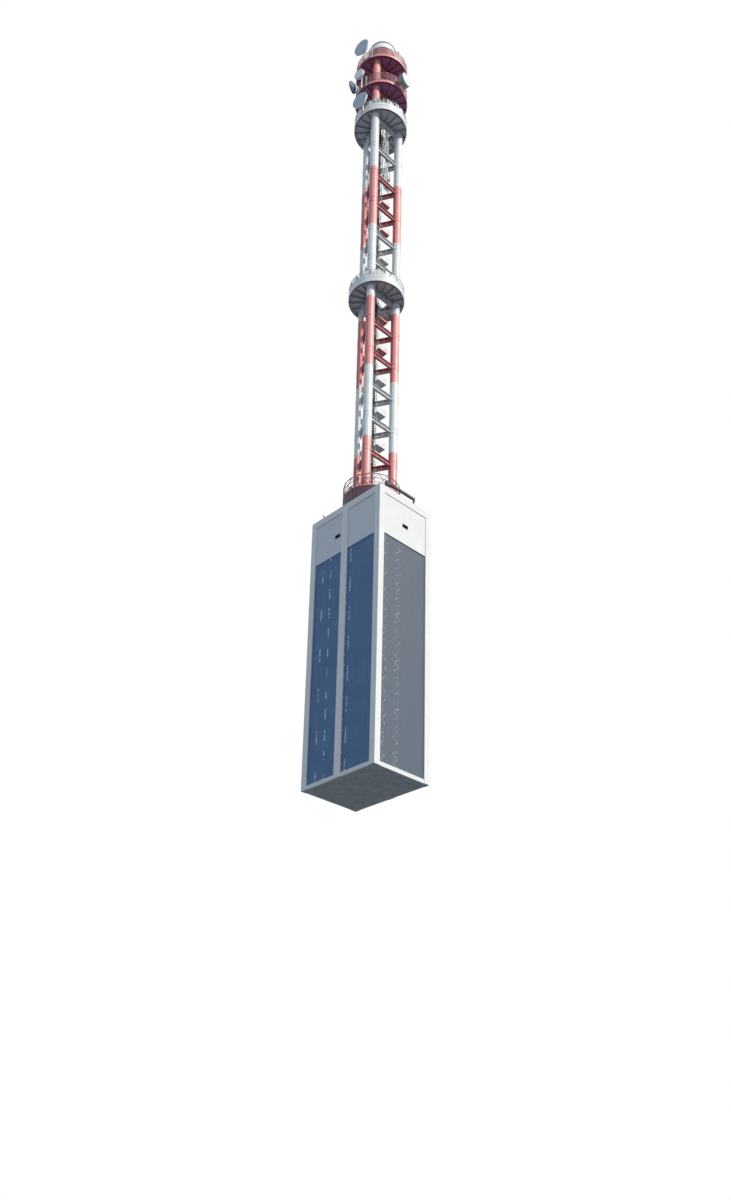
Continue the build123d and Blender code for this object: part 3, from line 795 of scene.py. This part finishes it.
def deckSoffit(node, withHatch):
    low, high = sizeOf(node)
    plate = low.z + ringDecks["plate"]
    made = [
        ringPiece("stringer", r - ringDecks["stringer"], r, plate - ringDecks["stringerDeep"], plate, 72)
        for r in ringDecks["stringers"]]
    inner, outer = legs["radius"] + ringDecks["collarGap"], legs["radius"] + ringDecks["collar"]
    collar = ringPiece("collar", inner, outer, plate - ringDecks["collarDeep"], plate, 48)
    made.append(copiesAt(collar, legPlaces, "collars"))
    (back, front), (y0, y1) = ringDecks["cleatX"], ringDecks["cleatY"]
    cleat = barPiece("cleat", (high.x - back, y0, low.z + ringDecks["cleatZ"]), (high.x - front, y1, plate))
    made.append(copiesAt(cleat, turnsOf(ringDecks["cleats"], ringDecks["cleatTurn"]), "cleats"))
    if withHatch:
        x0, y0, x1, y1 = ringDecks["hatch"]
        edge = ringDecks["hatchEdge"]
        z0, z1 = (plate + z for z in ringDecks["hatchZ"])
        for first, second in (
                ((x0 - edge, y0 - edge), (x1 + edge, y0)), ((x0 - edge, y1), (x1 + edge, y1 + edge)),
                ((x0 - edge, y0), (x0, y1)), ((x1, y0), (x1 + edge, y1))):
            made.append(barPiece("edge", (*first, z0), (*second, z1)))
    return joinPieces(made, node + "_soffit_trim")


# Railings: handrails and mid rails, a kick band, post feet, and infill cell by cell
railings = {
    "bays": 18, "inset": 2.5 * mm, "bar": 5 * mm, "barThick": 2 * mm, "barsAt": (0.2, 0.5, 0.8),
    "foot": 9 * mm, "footInset": 2 * mm, "footThick": 3 * mm, "plate": 1.6 * mm, "edge": 0.5 * mm,
    "kickIn": 1 * mm, "clear": 4 * mm, "box": 10 * mm, "boxClear": 5 * mm, "boxIn": 0.985}
headRail = {
    "hand": 3.2 * mm, "rail": 2.4 * mm, "rails": (0.3, 0.53, 0.77), "kick": 0.14, "cells": 4,
    "mix": ("bars", "bars", "bars", "cross")}
railLooks = {
    "mid": {
        "hand": 3.6 * mm, "rail": 2.2 * mm, "rails": (0.45, 0.72), "kick": 0.38, "cells": 6,
        "mix": ("plate", "plate", "bars", "plate", "box", "bars", "none")},
    "upper": {
        "hand": 3.6 * mm, "rail": 2.2 * mm, "rails": (0.5, 0.76), "kick": 0.42, "cells": 6,
        "mix": ("plate", "plate", "plate", "bars", "none", "box")},
    "head": headRail,
    "top": headRail | {"mix": ("bars",) * 4},
    "base": {
        "hand": 6 * mm, "rail": 4.5 * mm, "rails": (0.22, 0.58), "kick": 0.0, "cells": 1,
        "mix": ("cross", "cross", "cross", "single")},
}


def railHoop(radius, bar, z):
    deselectAll()
    bpy.ops.mesh.primitive_torus_add(
        major_radius=radius, minor_radius=bar, location=(0, 0, z),
        major_segments=railings["bays"], minor_segments=10)
    return settle(bpy.context.object, "hoop")


def uprightPlate(start, end, tall, thick):
    run = end - start
    plate = barPiece("plate", (0, -thick / 2, 0), (run.length, thick / 2, tall), railings["edge"])
    plate.data.transform(Matrix.Translation(start) @ Matrix.Rotation(math.atan2(run.y, run.x), 4, "Z"))
    return plate


def cellInfill(start, end, tall, kind, rod):
    up = Vector((0, 0, tall))
    made = []
    if kind in ("cross", "single"):
        made.append(rodPiece("brace", rod, start, end + up, 8))
    if kind == "cross":
        made.append(rodPiece("brace", rod, start + up, end, 8))
    elif kind == "bars":
        half = (end - start).normalized() * railings["bar"] / 2
        for at in (start.lerp(end, share) for share in railings["barsAt"]):
            made.append(uprightPlate(at - half, at + half, tall, railings["barThick"]))
    elif kind == "plate":
        made.append(uprightPlate(start, end, tall * random.uniform(0.45, 1.0), railings["plate"]))
    return made


def railTrim(node, look):    # the railing's fittings, and the boxes that hang on it
    low, high = sizeOf(node)
    r, span = high.x - railings["inset"], high.z - low.z
    base = low.z + span * look["kick"]
    made = [railHoop(r, look["rail"], low.z + span * share) for share in look["rails"]]
    if look["kick"]:
        middle, half = r - railings["kickIn"], railings["plate"] / 2
        made.append(ringPiece("kick", middle - half, middle + half, low.z, base, railings["bays"]))
    half = railings["foot"] / 2
    outer = (r + half - railings["footInset"], half, low.z + railings["footThick"])
    foot = barPiece("foot", (r - half, -half, low.z), outer)
    made.append(copiesAt(foot, turnsOf(railings["bays"]), "feet"))
    boxes = []
    step = 360 / railings["bays"]
    inward = Matrix.Diagonal((railings["boxIn"], railings["boxIn"], 1))
    for n in range(railings["bays"]):
        first, last = polarPoint(r, n * step, base), polarPoint(r, (n + 1) * step, base)
        for cell in range(look["cells"]):
            start, end = (first.lerp(last, (cell + more) / look["cells"]) for more in (0, 1))
            kind = random.choice(look["mix"])
            if kind == "box":
                tall = (high.z - base - railings["boxClear"]) * random.uniform(0.5, 0.9)
                boxes.append(uprightPlate(inward @ start, inward @ end, tall, railings["box"]))
            else:
                made += cellInfill(start, end, high.z - base - railings["clear"], kind, look["rail"])
    return joinPieces(made, node + "_trim"), boxes


def handrail(node, look):
    r, top = sizeOf(node)[1].xz
    hoop = railHoop(r - railings["inset"], look["hand"], top - look["hand"])
    return joinPieces([hoop], node + "_handrail")


for ring, colour in (("mid", "white"), ("upper", "white"), ("head", "red"), ("top", "red"), ("base", "red")):
    material, slot = paintOf[colour]
    if ring != "base":
        finishPiece(deckFascia(ring + "_deck"), material, slot)
        finishPiece(deckSoffit(ring + "_deck", ring != "top"), colour + "DeckPaint", slot)
    railPaint, handPaint = ("maroonAlkydPaint",) * 2 if colour == "red" else (material, "greyPrimer")
    trim, boxes = railTrim(ring + "_railing", railLooks[ring])
    finishPiece(trim, railPaint, slot)
    finishPiece(handrail(ring + "_railing", railLooks[ring]), handPaint, slot)
    if boxes:
        finishPiece(joinPieces(boxes, ring + "_rail_boxes"), "greyPrimer", "frame_steel")
print("ring decks and railings done")

# Beams: end plates with bolts against the legs, web stiffeners; weld collars round the legs
beamLevels = [beams["first"] + n * beams["pitch"] for n in range(beams["count"])]
beamLevels += [sizeOf(ring + "_deck")[0].z - beams["depth"] / 2 for ring in ("upper", "head", "top")]


def beamFitting():    # on the beam whose middle is on +X, at height 0
    half = legs["circle"] * math.cos(math.radians(30)) - legs["radius"]
    out, face = beams["out"], half - beams["endPlate"]
    wide, deep = beams["endWide"] / 2, beams["endDeep"] / 2
    web, flange, inside = beams["plate"] / 2, beams["flange"] / 2, beams["depth"] / 2 - beams["plate"]
    thick = beams["stiffener"] / 2
    made = []
    for side in (-1, 1):
        made.append(barPiece(
            "end", (out - wide, side * (half + beams["seat"]), -deep), (out + wide, side * face, deep),
            beams["edge"]))
        inward = Vector((0, -side * beams["boltHigh"], 0))
        for x in beams["boltsAcross"]:
            for z in beams["boltsUp"]:
                at = Vector((out + x * beams["endWide"], side * face, z * beams["endDeep"]))
                made.append(rodPiece("bolt", beams["bolt"], at, at + inward, 6))
        for y in (share * half for share in beams["stiffeners"]):
            first, second = (out + side * web, y - thick, -inside), (out + side * flange, y + thick, inside)
            made.append(barPiece("stiffener", first, second))
    return joinPieces(made, "fitting")


def legCollars():    # two weld beads round a leg, at the flanges of its beams
    lift, high = beams["depth"] / 2, beams["collarHigh"] / 2
    inner, outer = legs["radius"] - beams["collarBite"], legs["radius"] + beams["collar"]
    pair = [ringPiece("collar", inner, outer, z - high, z + high, 40) for z in (-lift, lift)]
    return copiesAt(joinPieces(pair, "pair"), legPlaces, "collars")


for colour in ("red", "white"):
    lifts = [Matrix.Translation((0, 0, z)) for z in beamLevels if bandAt(z) == colour]
    places = [lift @ turnAbout(angle) for lift in lifts for angle in beams["sides"]]
    fittings = [copiesAt(beamFitting(), places, "fittings"), copiesAt(legCollars(), lifts, "collars")]
    finishPiece(joinPieces(fittings, f"beam_fittings_{colour}"), *paintOf[colour])
print("beam fittings done")

# Rest platforms: a guard rail on three sides and joists below the plate
rests = {
    "x": 100 * mm, "y": -20 * mm, "wide": 170 * mm, "deep": 125 * mm, "rail": 1.8 * mm, "high": 100 * mm,
    "inset": 4 * mm, "joists": (-0.25, 0.25), "joistInset": 9 * mm, "joist": 4 * mm,
    "joistZ": (-11 * mm, -4 * mm)}


def restRails():
    x0, x1 = (rests["x"] + side * (rests["wide"] / 2 - rests["inset"]) for side in (-1, 1))
    y0, y1 = (rests["y"] + side * (rests["deep"] / 2 - rests["inset"]) for side in (-1, 1))
    corners = [(x0, y0), (x1, y0), (x1, y1), (x0, y1)]
    made = [rodPiece("post", rests["rail"], (x, y, 0), (x, y, rests["high"]), 8) for x, y in corners]
    for z in (rests["high"] / 2, rests["high"]):
        for first, second in zip(corners, corners[1:]):
            made.append(rodPiece("rail", rests["rail"], (*first, z), (*second, z), 8))
    reach, half, (z0, z1) = rests["wide"] / 2 - rests["joistInset"], rests["joist"] / 2, rests["joistZ"]
    x0, x1 = rests["x"] - reach, rests["x"] + reach
    for y in (rests["y"] + share * rests["deep"] for share in rests["joists"]):
        made.append(barPiece("joist", (x0, y - half, z0), (x1, y + half, z1)))
    return joinPieces(made, "rails")


for colour in ("red", "white"):
    levels = [beams["first"] + (n + 0.5) * beams["pitch"] for n in range(beams["count"] - 1)]
    places = [Matrix.Translation((0, 0, z)) for z in levels if bandAt(z) == colour]
    finishPiece(copiesAt(restRails(), places, f"rest_rails_{colour}"), *paintOf[colour])

# Ladder rungs at their true pitch, with ties to the beams
ladder = {"pitch": 30 * mm, "rung": 1.3 * mm, "tie": 3 * mm, "tieOut": 60 * mm}


def ladderRungs():
    low, high = sizeOf("ladder")
    x, z, tie = (low.x + high.x) / 2, low.z + ladder["pitch"], ladder["tie"]
    rung = rodPiece("rung", ladder["rung"], (x, low.y, z), (x, high.y, z), 8)
    made = [rowOf(rung, int((high.z - low.z) / ladder["pitch"]) - 1, (0, 0, ladder["pitch"]))]
    for z in beamLevels[:-2]:    # it ends below the two red decks
        for y in (low.y, high.y - tie):
            made.append(barPiece("tie", (low.x, y, z - tie), (high.x + ladder["tieOut"], y + tie, z + tie)))
    return joinPieces(made, "ladder_rungs")


finishPiece(ladderRungs(), "hotDipZinc", "galvanised")

# Cables: feeders held straight by cleats, waveguides that bow between the top beams, and thin cables
# tied in beside them, which wander more; their ends stay put along the axes in "held"
feeders = {
    "node": "feeders", "radius": 8 * mm, "places": (-7.6 * mm, -29.6 * mm, -51.6 * mm), "bends": 28,
    "sway": 1 * mm, "lean": (-1 * mm, 1 * mm), "held": "", "inset": 0}
waveguides = {
    "node": "waveguides", "radius": 6 * mm, "places": (0, 24 * mm, 48 * mm, 72 * mm), "bends": 9,
    "sway": 11 * mm, "lean": (0, 17.6 * mm), "held": "xy", "inset": 0}
jumpers = {
    "node": "waveguides", "radius": 3.4 * mm, "places": [(18.75 * n - 30) * mm for n in range(9)],
    "bends": 13, "sway": 26 * mm, "lean": (6.8 * mm, 34 * mm), "held": "x", "inset": 4 * mm}
cleats = {
    "pitch": 205 * mm, "first": 60 * mm, "stop": 80 * mm, "band": 5 * mm, "left": 3 * mm, "right": 10 * mm,
    "out": 2 * mm, "in": 4 * mm}


def cableRuns(name, look, places):
    low, high = sizeOf(look["node"])
    y = (low.y + high.y) / 2
    start, stop = low.z + look["inset"], high.z - look["inset"]
    made = []
    for x in places:
        points = []
        for n in range(look["bends"] + 1):
            held = look["held"] if n in (0, look["bends"]) else ""
            aside, lean = random.uniform(-1, 1) * look["sway"], random.uniform(*look["lean"])
            points.append((
                x if "x" in held else x + aside, y if "y" in held else y + lean,
                start + n * (stop - start) / look["bends"]))
        made.append(cablePiece("run", look["radius"], points))
    return joinPieces(made, name)


def feederCleats():
    low, high = sizeOf("feeders")
    x0, x1 = low.x - cleats["left"], high.x + cleats["right"]
    z0 = low.z + cleats["first"]
    z1 = z0 + cleats["band"]
    pair = [
        barPiece("cleat", (x0, y - side * cleats["out"], z0), (x1, y + side * cleats["in"], z1))
        for y, side in ((low.y, 1), (high.y, -1))]
    count = int((high.z - low.z - cleats["stop"]) / cleats["pitch"])
    return rowOf(joinPieces(pair, "feeder_cleats"), count, (0, 0, cleats["pitch"]))


feederRuns = cableRuns("feeder_runs", feeders, feeders["places"])
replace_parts(finishPiece(feederRuns, "blackJacket", "feeder_jacket"), "feeders")
finishPiece(feederCleats(), "hotDipZinc", "galvanised")
waveguideRuns = cableRuns("waveguide_runs", waveguides, waveguides["places"])
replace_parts(finishPiece(waveguideRuns, "paleJacket", "waveguide_jacket"), "waveguides")
paleJumpers = cableRuns("waveguide_jumpers_0", jumpers, jumpers["places"][:6])
finishPiece(paleJumpers, "paleJacket", "waveguide_jacket")
blackJumpers = cableRuns("waveguide_jumpers_6", jumpers, jumpers["places"][6:])
finishPiece(blackJumpers, "blackJacket", "feeder_jacket")
print("ladder and cables done")

# Dishes: a cover drawn over the rim, the shroud with its bands, and the bowl with ribs behind
leftDish = {"size": 295 * mm, "shroud": 28 * mm, "facing": 188, "cover": "greyRadome", "shell": "whiteShell"}
dishes = {
    "dish_top_left": leftDish,
    "dish_shrouded": leftDish | {"size": 190 * mm, "shroud": 40 * mm, "cover": "creamRadome"},
    "dish_edge_on": {
        "size": 200 * mm, "shroud": 30 * mm, "facing": 110, "cover": "darkRadome", "shell": "darkRadome"},
    "dish_low_left": leftDish,
    "dish_right": {
        "size": 230 * mm, "shroud": 80 * mm, "facing": 278, "cover": "sunlitRadome",
        "shell": "greenGreyShell"},
}
dishForm = {
    "bowl": 0.2, "fullness": 0.94, "hub": 0.22, "hubEdge": 2 * mm, "rings": 10, "band": 2.2 * mm,
    "front": 9 * mm, "rear": 6 * mm, "slope": 1 * mm, "bowlInset": 3 * mm, "ribs": 12, "rib": 3 * mm,
    "ribFrom": 0.9, "ribTo": 0.93, "ribHigh": 5 * mm, "hoop": (0.6, 0.64), "hoopZ": (0.5, 0.66),
    "lip": 0.8 * mm, "lipIn": 0.6 * mm, "ribSunk": 2 * mm, "coverLap": 0.2 * mm, "coverTop": 1.2 * mm,
    "coverFoot": 2.5 * mm, "swell": 0.9 * mm}


def dishPlace(node, look):    # the middle of the front, from the node's box and the way it faces
    low, high = sizeOf(node)
    face = polarPoint(1, look["facing"], 0)
    spread = (look["size"] / 2 * abs(face.y), look["size"] / 2 * abs(face.x))
    centre = [low[n] + spread[n] if face[n] < 0 else high[n] - spread[n] for n in (0, 1)]
    turn = turnAbout(look["facing"]) @ Matrix.Rotation(math.radians(-90), 4, "Y")
    return Matrix.Translation((*centre, (low.z + high.z) / 2)) @ turn


def dishShell(node, look):
    r, shroud, bowl = look["size"] / 2, look["shroud"], look["size"] * dishForm["bowl"]
    band, slope, back = r - dishForm["band"], dishForm["slope"], look["shroud"] + bowl
    front, rear = dishForm["front"], shroud - dishForm["rear"]
    hub, edge, lip = r * dishForm["hub"], dishForm["hubEdge"], dishForm["lip"]

    def onBowl(share):
        return shroud + bowl * (1 - share ** 2) * dishForm["fullness"]

    profile = [(band, lip), (r - dishForm["lipIn"], 0), (r, lip), (r, front), (band, front + slope)]
    profile += [(band, rear - slope), (r, rear), (r, shroud - slope), (r - slope, shroud)]
    for n in range(1, dishForm["rings"] + 1):
        share = 1 - n * (1 - dishForm["hub"]) / dishForm["rings"]
        profile.append(((r - dishForm["bowlInset"]) * share, onBowl(share)))
    profile += [(hub, back - edge), (hub - edge, back), (0, back)]
    shell = turnedPiece("shell", profile)
    half = dishForm["rib"] / 2
    rib = barPiece("rib", (hub * dishForm["ribFrom"], -half, 0), (r * dishForm["ribTo"], half, 1 * mm))
    for vertex in rib.data.vertices:    # the rib's foot follows the bowl and its back slopes to the hub
        foot = onBowl(vertex.co.x / (r - dishForm["bowlInset"]))
        isFoot = vertex.co.z < 0.5 * mm
        vertex.co.z = foot - dishForm["ribSunk"] if isFoot else min(foot + dishForm["ribHigh"], back - slope)
    ribs = copiesAt(rib, turnsOf(dishForm["ribs"]), "ribs")
    (inner, outer), (low, high) = dishForm["hoop"], dishForm["hoopZ"]
    hoop = ringPiece("hoop", r * inner, r * outer, shroud + bowl * low, shroud + bowl * high, 64)
    piece = joinPieces([shell, ribs, hoop], node + "_shell")
    piece.data.transform(dishPlace(node, look))
    return piece


def dishCover(node, look):
    r = look["size"] / 2 - dishForm["band"] + dishForm["coverLap"]
    foot, top, shares = dishForm["coverFoot"], dishForm["coverTop"], [1 - n / 6 for n in range(7)]
    profile = [(r, foot)]
    profile += [(r * share, top - dishForm["swell"] * (1 - share ** 2)) for share in shares]
    cover = turnedPiece(node + "_cover", [*profile, (0, foot)])
    cover.data.transform(dishPlace(node, look))
    return cover


for node, look in dishes.items():
    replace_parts(finishPiece(dishShell(node, look), look["shell"], "dish_shell"), node)
    finishPiece(dishCover(node, look), look["cover"], "dish_shell")

# Clamps where each dish's pole meets its arms, and a bracket from the pole to the dish's hub
mounts = {
    "pole": 12 * mm, "seat": 0.3 * mm, "clamp": 4 * mm, "bite": 0.5 * mm, "high": 16 * mm,
    "heights": (-0.1375, 0.0875), "bracket": 20 * mm, "bracketZ": (-1 * mm, 4 * mm), "edge": 1 * mm}


def dishClamps():
    made = []
    for node, look in dishes.items():
        place = dishPlace(node, look)
        depth = look["shroud"] + look["size"] * dishForm["bowl"]
        centre = Matrix.Translation(place @ Vector((0, 0, depth + mounts["pole"] + mounts["seat"])))
        inner, outer = mounts["pole"] - mounts["bite"], mounts["pole"] + mounts["clamp"]
        for z in (look["size"] * share for share in mounts["heights"]):
            made.append(ringPiece("clamp", inner, outer, z, z + mounts["high"], 24))
            made[-1].data.transform(centre)
        half, (z0, z1) = mounts["bracket"] / 2, mounts["bracketZ"]
        first, second = (-half, -half, depth + z0), (half, half, depth + z1)
        made.append(barPiece("bracket", first, second, mounts["edge"]))
        made[-1].data.transform(place)
    return joinPieces(made, "dish_clamps")


finishPiece(dishClamps(), "hotDipZinc", "galvanised")
print("dishes done")

# Head cabin: round wall with seams, red below and white above, a dark flashing and a low roof
cabin = {
    "wall": 230 * mm, "eave": 237 * mm, "roof": 12 * mm, "roofRise": 5 * mm, "roofSlope": 8 * mm,
    "slopeRise": 1 * mm, "crown": 0.5 * mm, "whiteBand": 126 * mm, "white": "#FBFBF6",
    "drip": (2 * mm, 3 * mm), "seams": 24, "seam": 3 * mm, "seamIn": 1 * mm, "seamProud": 1.2 * mm,
    "flashing": 4 * mm, "flashingProud": 1 * mm, "flashingZ": (12.5 * mm, 1 * mm)}


def cabinShell():
    low, high = sizeOf("head_cabin")
    wall, eave, top = cabin["wall"], cabin["eave"], high.z - cabin["roof"]
    band, roof, (proud, thick) = high.z - cabin["whiteBand"], high.z - cabin["roofRise"], cabin["drip"]
    slope = (eave - cabin["roofSlope"], roof + cabin["slopeRise"])
    profile = [
        (0, low.z), (wall, low.z), (wall, band - thick), (wall + proud, band - thick), (wall + proud, band),
        (wall, band), (wall, top), (eave, top), (eave, roof), slope, (0, high.z - cabin["crown"])]
    shell = turnedPiece("shell", profile)
    half = cabin["seam"] / 2
    seam = barPiece("seam", (wall - cabin["seamIn"], -half, low.z), (wall + cabin["seamProud"], half, top))
    return joinPieces([shell, copiesAt(seam, turnsOf(cabin["seams"]), "seams")], "cabin_shell")


def cabinFlashing():
    top, (below, under) = sizeOf("head_cabin")[1].z, cabin["flashingZ"]
    inner, outer = cabin["eave"] - cabin["flashing"], cabin["eave"] + cabin["flashingProud"]
    return ringPiece("cabin_flashing", inner, outer, top - below, top - under)


split = sizeOf("head_cabin")[1].z - cabin["whiteBand"]
cabinCoat = paints["maroonAlkydPaint"] | {"above": (split, cabin["white"])}
materials["cabinPaint"] = brushedPaint("cabinPaint", cabinCoat)
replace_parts(finishPiece(cabinShell(), "cabinPaint", "white_paint"), "head_cabin")
finishPiece(cabinFlashing(), "darkMachinePaint", "frame_steel")

# Lamps: red glass domes over their caps, and the floodlight's glass
lamps = {
    "places": ((266, "top"), (304, "head"), (143, "head"), (318, "upper")), "rim": 448 * mm,
    "lift": 0.3 * mm, "radius": 9.8 * mm, "foot": 6 * mm, "shoulder": 20 * mm, "high": 30 * mm,
    "crown": 0.5 * mm, "turns": (0.35, 0.7, 1.05, 1.35)}
floodlight = {
    "azimuth": 169, "reach": 374 * mm, "front": (14 * mm, 16 * mm), "wide": 50 * mm, "z": (37 * mm, 87 * mm),
    "edge": 0.8 * mm}


def lampDomes():
    flat = lamps["rim"] * math.cos(math.pi / railings["bays"])    # the lamps stand over the rims' flats
    reach = flat - railings["inset"]
    places = []
    for azimuth, deck in lamps["places"]:
        z = sizeOf(deck + "_railing")[1].z + lamps["lift"]
        places.append(Matrix.Translation(polarPoint(reach, azimuth, z)))
    r, shoulder, high = lamps["radius"], lamps["shoulder"], lamps["high"]
    profile = [(0, lamps["foot"]), (r, lamps["foot"]), (r, shoulder)]
    profile += [(r * math.cos(a), shoulder + (high - shoulder) * math.sin(a)) for a in lamps["turns"]]
    return copiesAt(turnedPiece("dome", [*profile, (0, high + lamps["crown"])], 24), places, "lamp_domes")


def floodlightGlass():
    (x0, x1), (z0, z1), half = floodlight["front"], floodlight["z"], floodlight["wide"] / 2
    glass = barPiece("floodlight_glass", (x0, -half, z0), (x1, half, z1), floodlight["edge"])
    place = polarPoint(floodlight["reach"], floodlight["azimuth"], sizeOf("lamp_drum")[0].z)
    glass.data.transform(Matrix.Translation(place) @ turnAbout(floodlight["azimuth"]))
    return glass


finishPiece(lampDomes(), "clearRedGlass", "galvanised")
finishPiece(floodlightGlass(), "lampGlass", "galvanised")
print("cabin and lamps done")

# Stage, lights and camera
stage = {"floor": 120.0, "drop": 2 * mm, "colour": (0.9, 0.87, 0.81, 1)}
view = {
    "place": (-10.0946, -10.6628, -6.09), "azimuth": 46.45, "pitch": 20, "roll": 1.355, "lens": 34.96,
    "shift": 0.2, "far": 200}


def makeFloor():    # pale from above, and clear from below, where the photograph's camera stands
    deselectAll()
    bpy.ops.mesh.primitive_plane_add(size=stage["floor"], location=(0, 0, -stage["drop"]))
    floor = settle(bpy.context.object, "floor")
    material, add, _ = newMaterial("paleFloor")
    pale = add("BsdfDiffuse", {"Color": stage["colour"]})
    clear = add("BsdfTransparent", {})
    mixed = add("MixShader", {0: add("NewGeometry", {}, "Backfacing"), 1: pale, 2: clear})
    add("OutputMaterial", {0: mixed})
    floor.data.materials.append(material)
    floor.visible_diffuse = False


def makeWorld():    # the camera sees plain white, and the mast is lit by a sky and a paler ground
    world = bpy.data.worlds.new("studio")
    bpy.context.scene.world = world
    world.use_nodes = True
    world.node_tree.nodes.clear()
    add = functools.partial(addNode, world.node_tree)
    height = add("SeparateXYZ", {0: add("TexCoord", {}, "Generated")}, "Z")
    level = add("MapRange", {0: height, 1: -0.5, 2: 0.5, 3: light["below"], 4: light["above"]})
    fill = add("Background", {"Color": light["sky"], "Strength": level})
    white = add("Background", {"Color": (1, 1, 1, 1), "Strength": 1.0})
    seen = 0.0
    for ray in ("Is Camera Ray", "Is Glossy Ray", "Is Transmission Ray"):
        seen = add("Math", {"operation": "MAXIMUM", 0: seen, 1: add("LightPath", {}, ray)})
    add("OutputWorld", {0: add("MixShader", {0: seen, 1: fill, 2: white})})


def makeSun():
    deselectAll()
    bpy.ops.object.light_add(type="SUN")
    sun = bpy.context.object
    sun.data.energy = light["sun"]
    sun.data.angle = math.radians(light["softness"])
    sun.data.color = light["sunColour"]
    rise = math.radians(light["elevation"])
    toSun = polarPoint(math.cos(rise), light["azimuth"], math.sin(rise))
    sun.rotation_euler = toSun.to_track_quat("Z", "Y").to_euler()


def makeCamera():
    rise, roll = math.radians(view["pitch"]), math.radians(view["roll"])
    forward = polarPoint(math.cos(rise), view["azimuth"], math.sin(rise))
    level = polarPoint(1, view["azimuth"] - 90, 0)
    up = level.cross(forward)
    right = level * math.cos(roll) + up * math.sin(roll)
    top = up * math.cos(roll) - level * math.sin(roll)
    camera = bpy.data.objects.new("camera", bpy.data.cameras.new("camera"))
    bpy.context.collection.objects.link(camera)
    axes = Matrix((right, top, -forward)).transposed()
    camera.matrix_world = Matrix.Translation(view["place"]) @ axes.to_4x4()
    camera.data.lens = view["lens"]
    camera.data.shift_y = view["shift"]
    camera.data.clip_end = view["far"]
    bpy.context.scene.camera = camera


makeFloor()
makeWorld()
makeSun()
makeCamera()
bpy.context.scene.view_settings.view_transform = "Standard"
print("stage, lights and camera done")
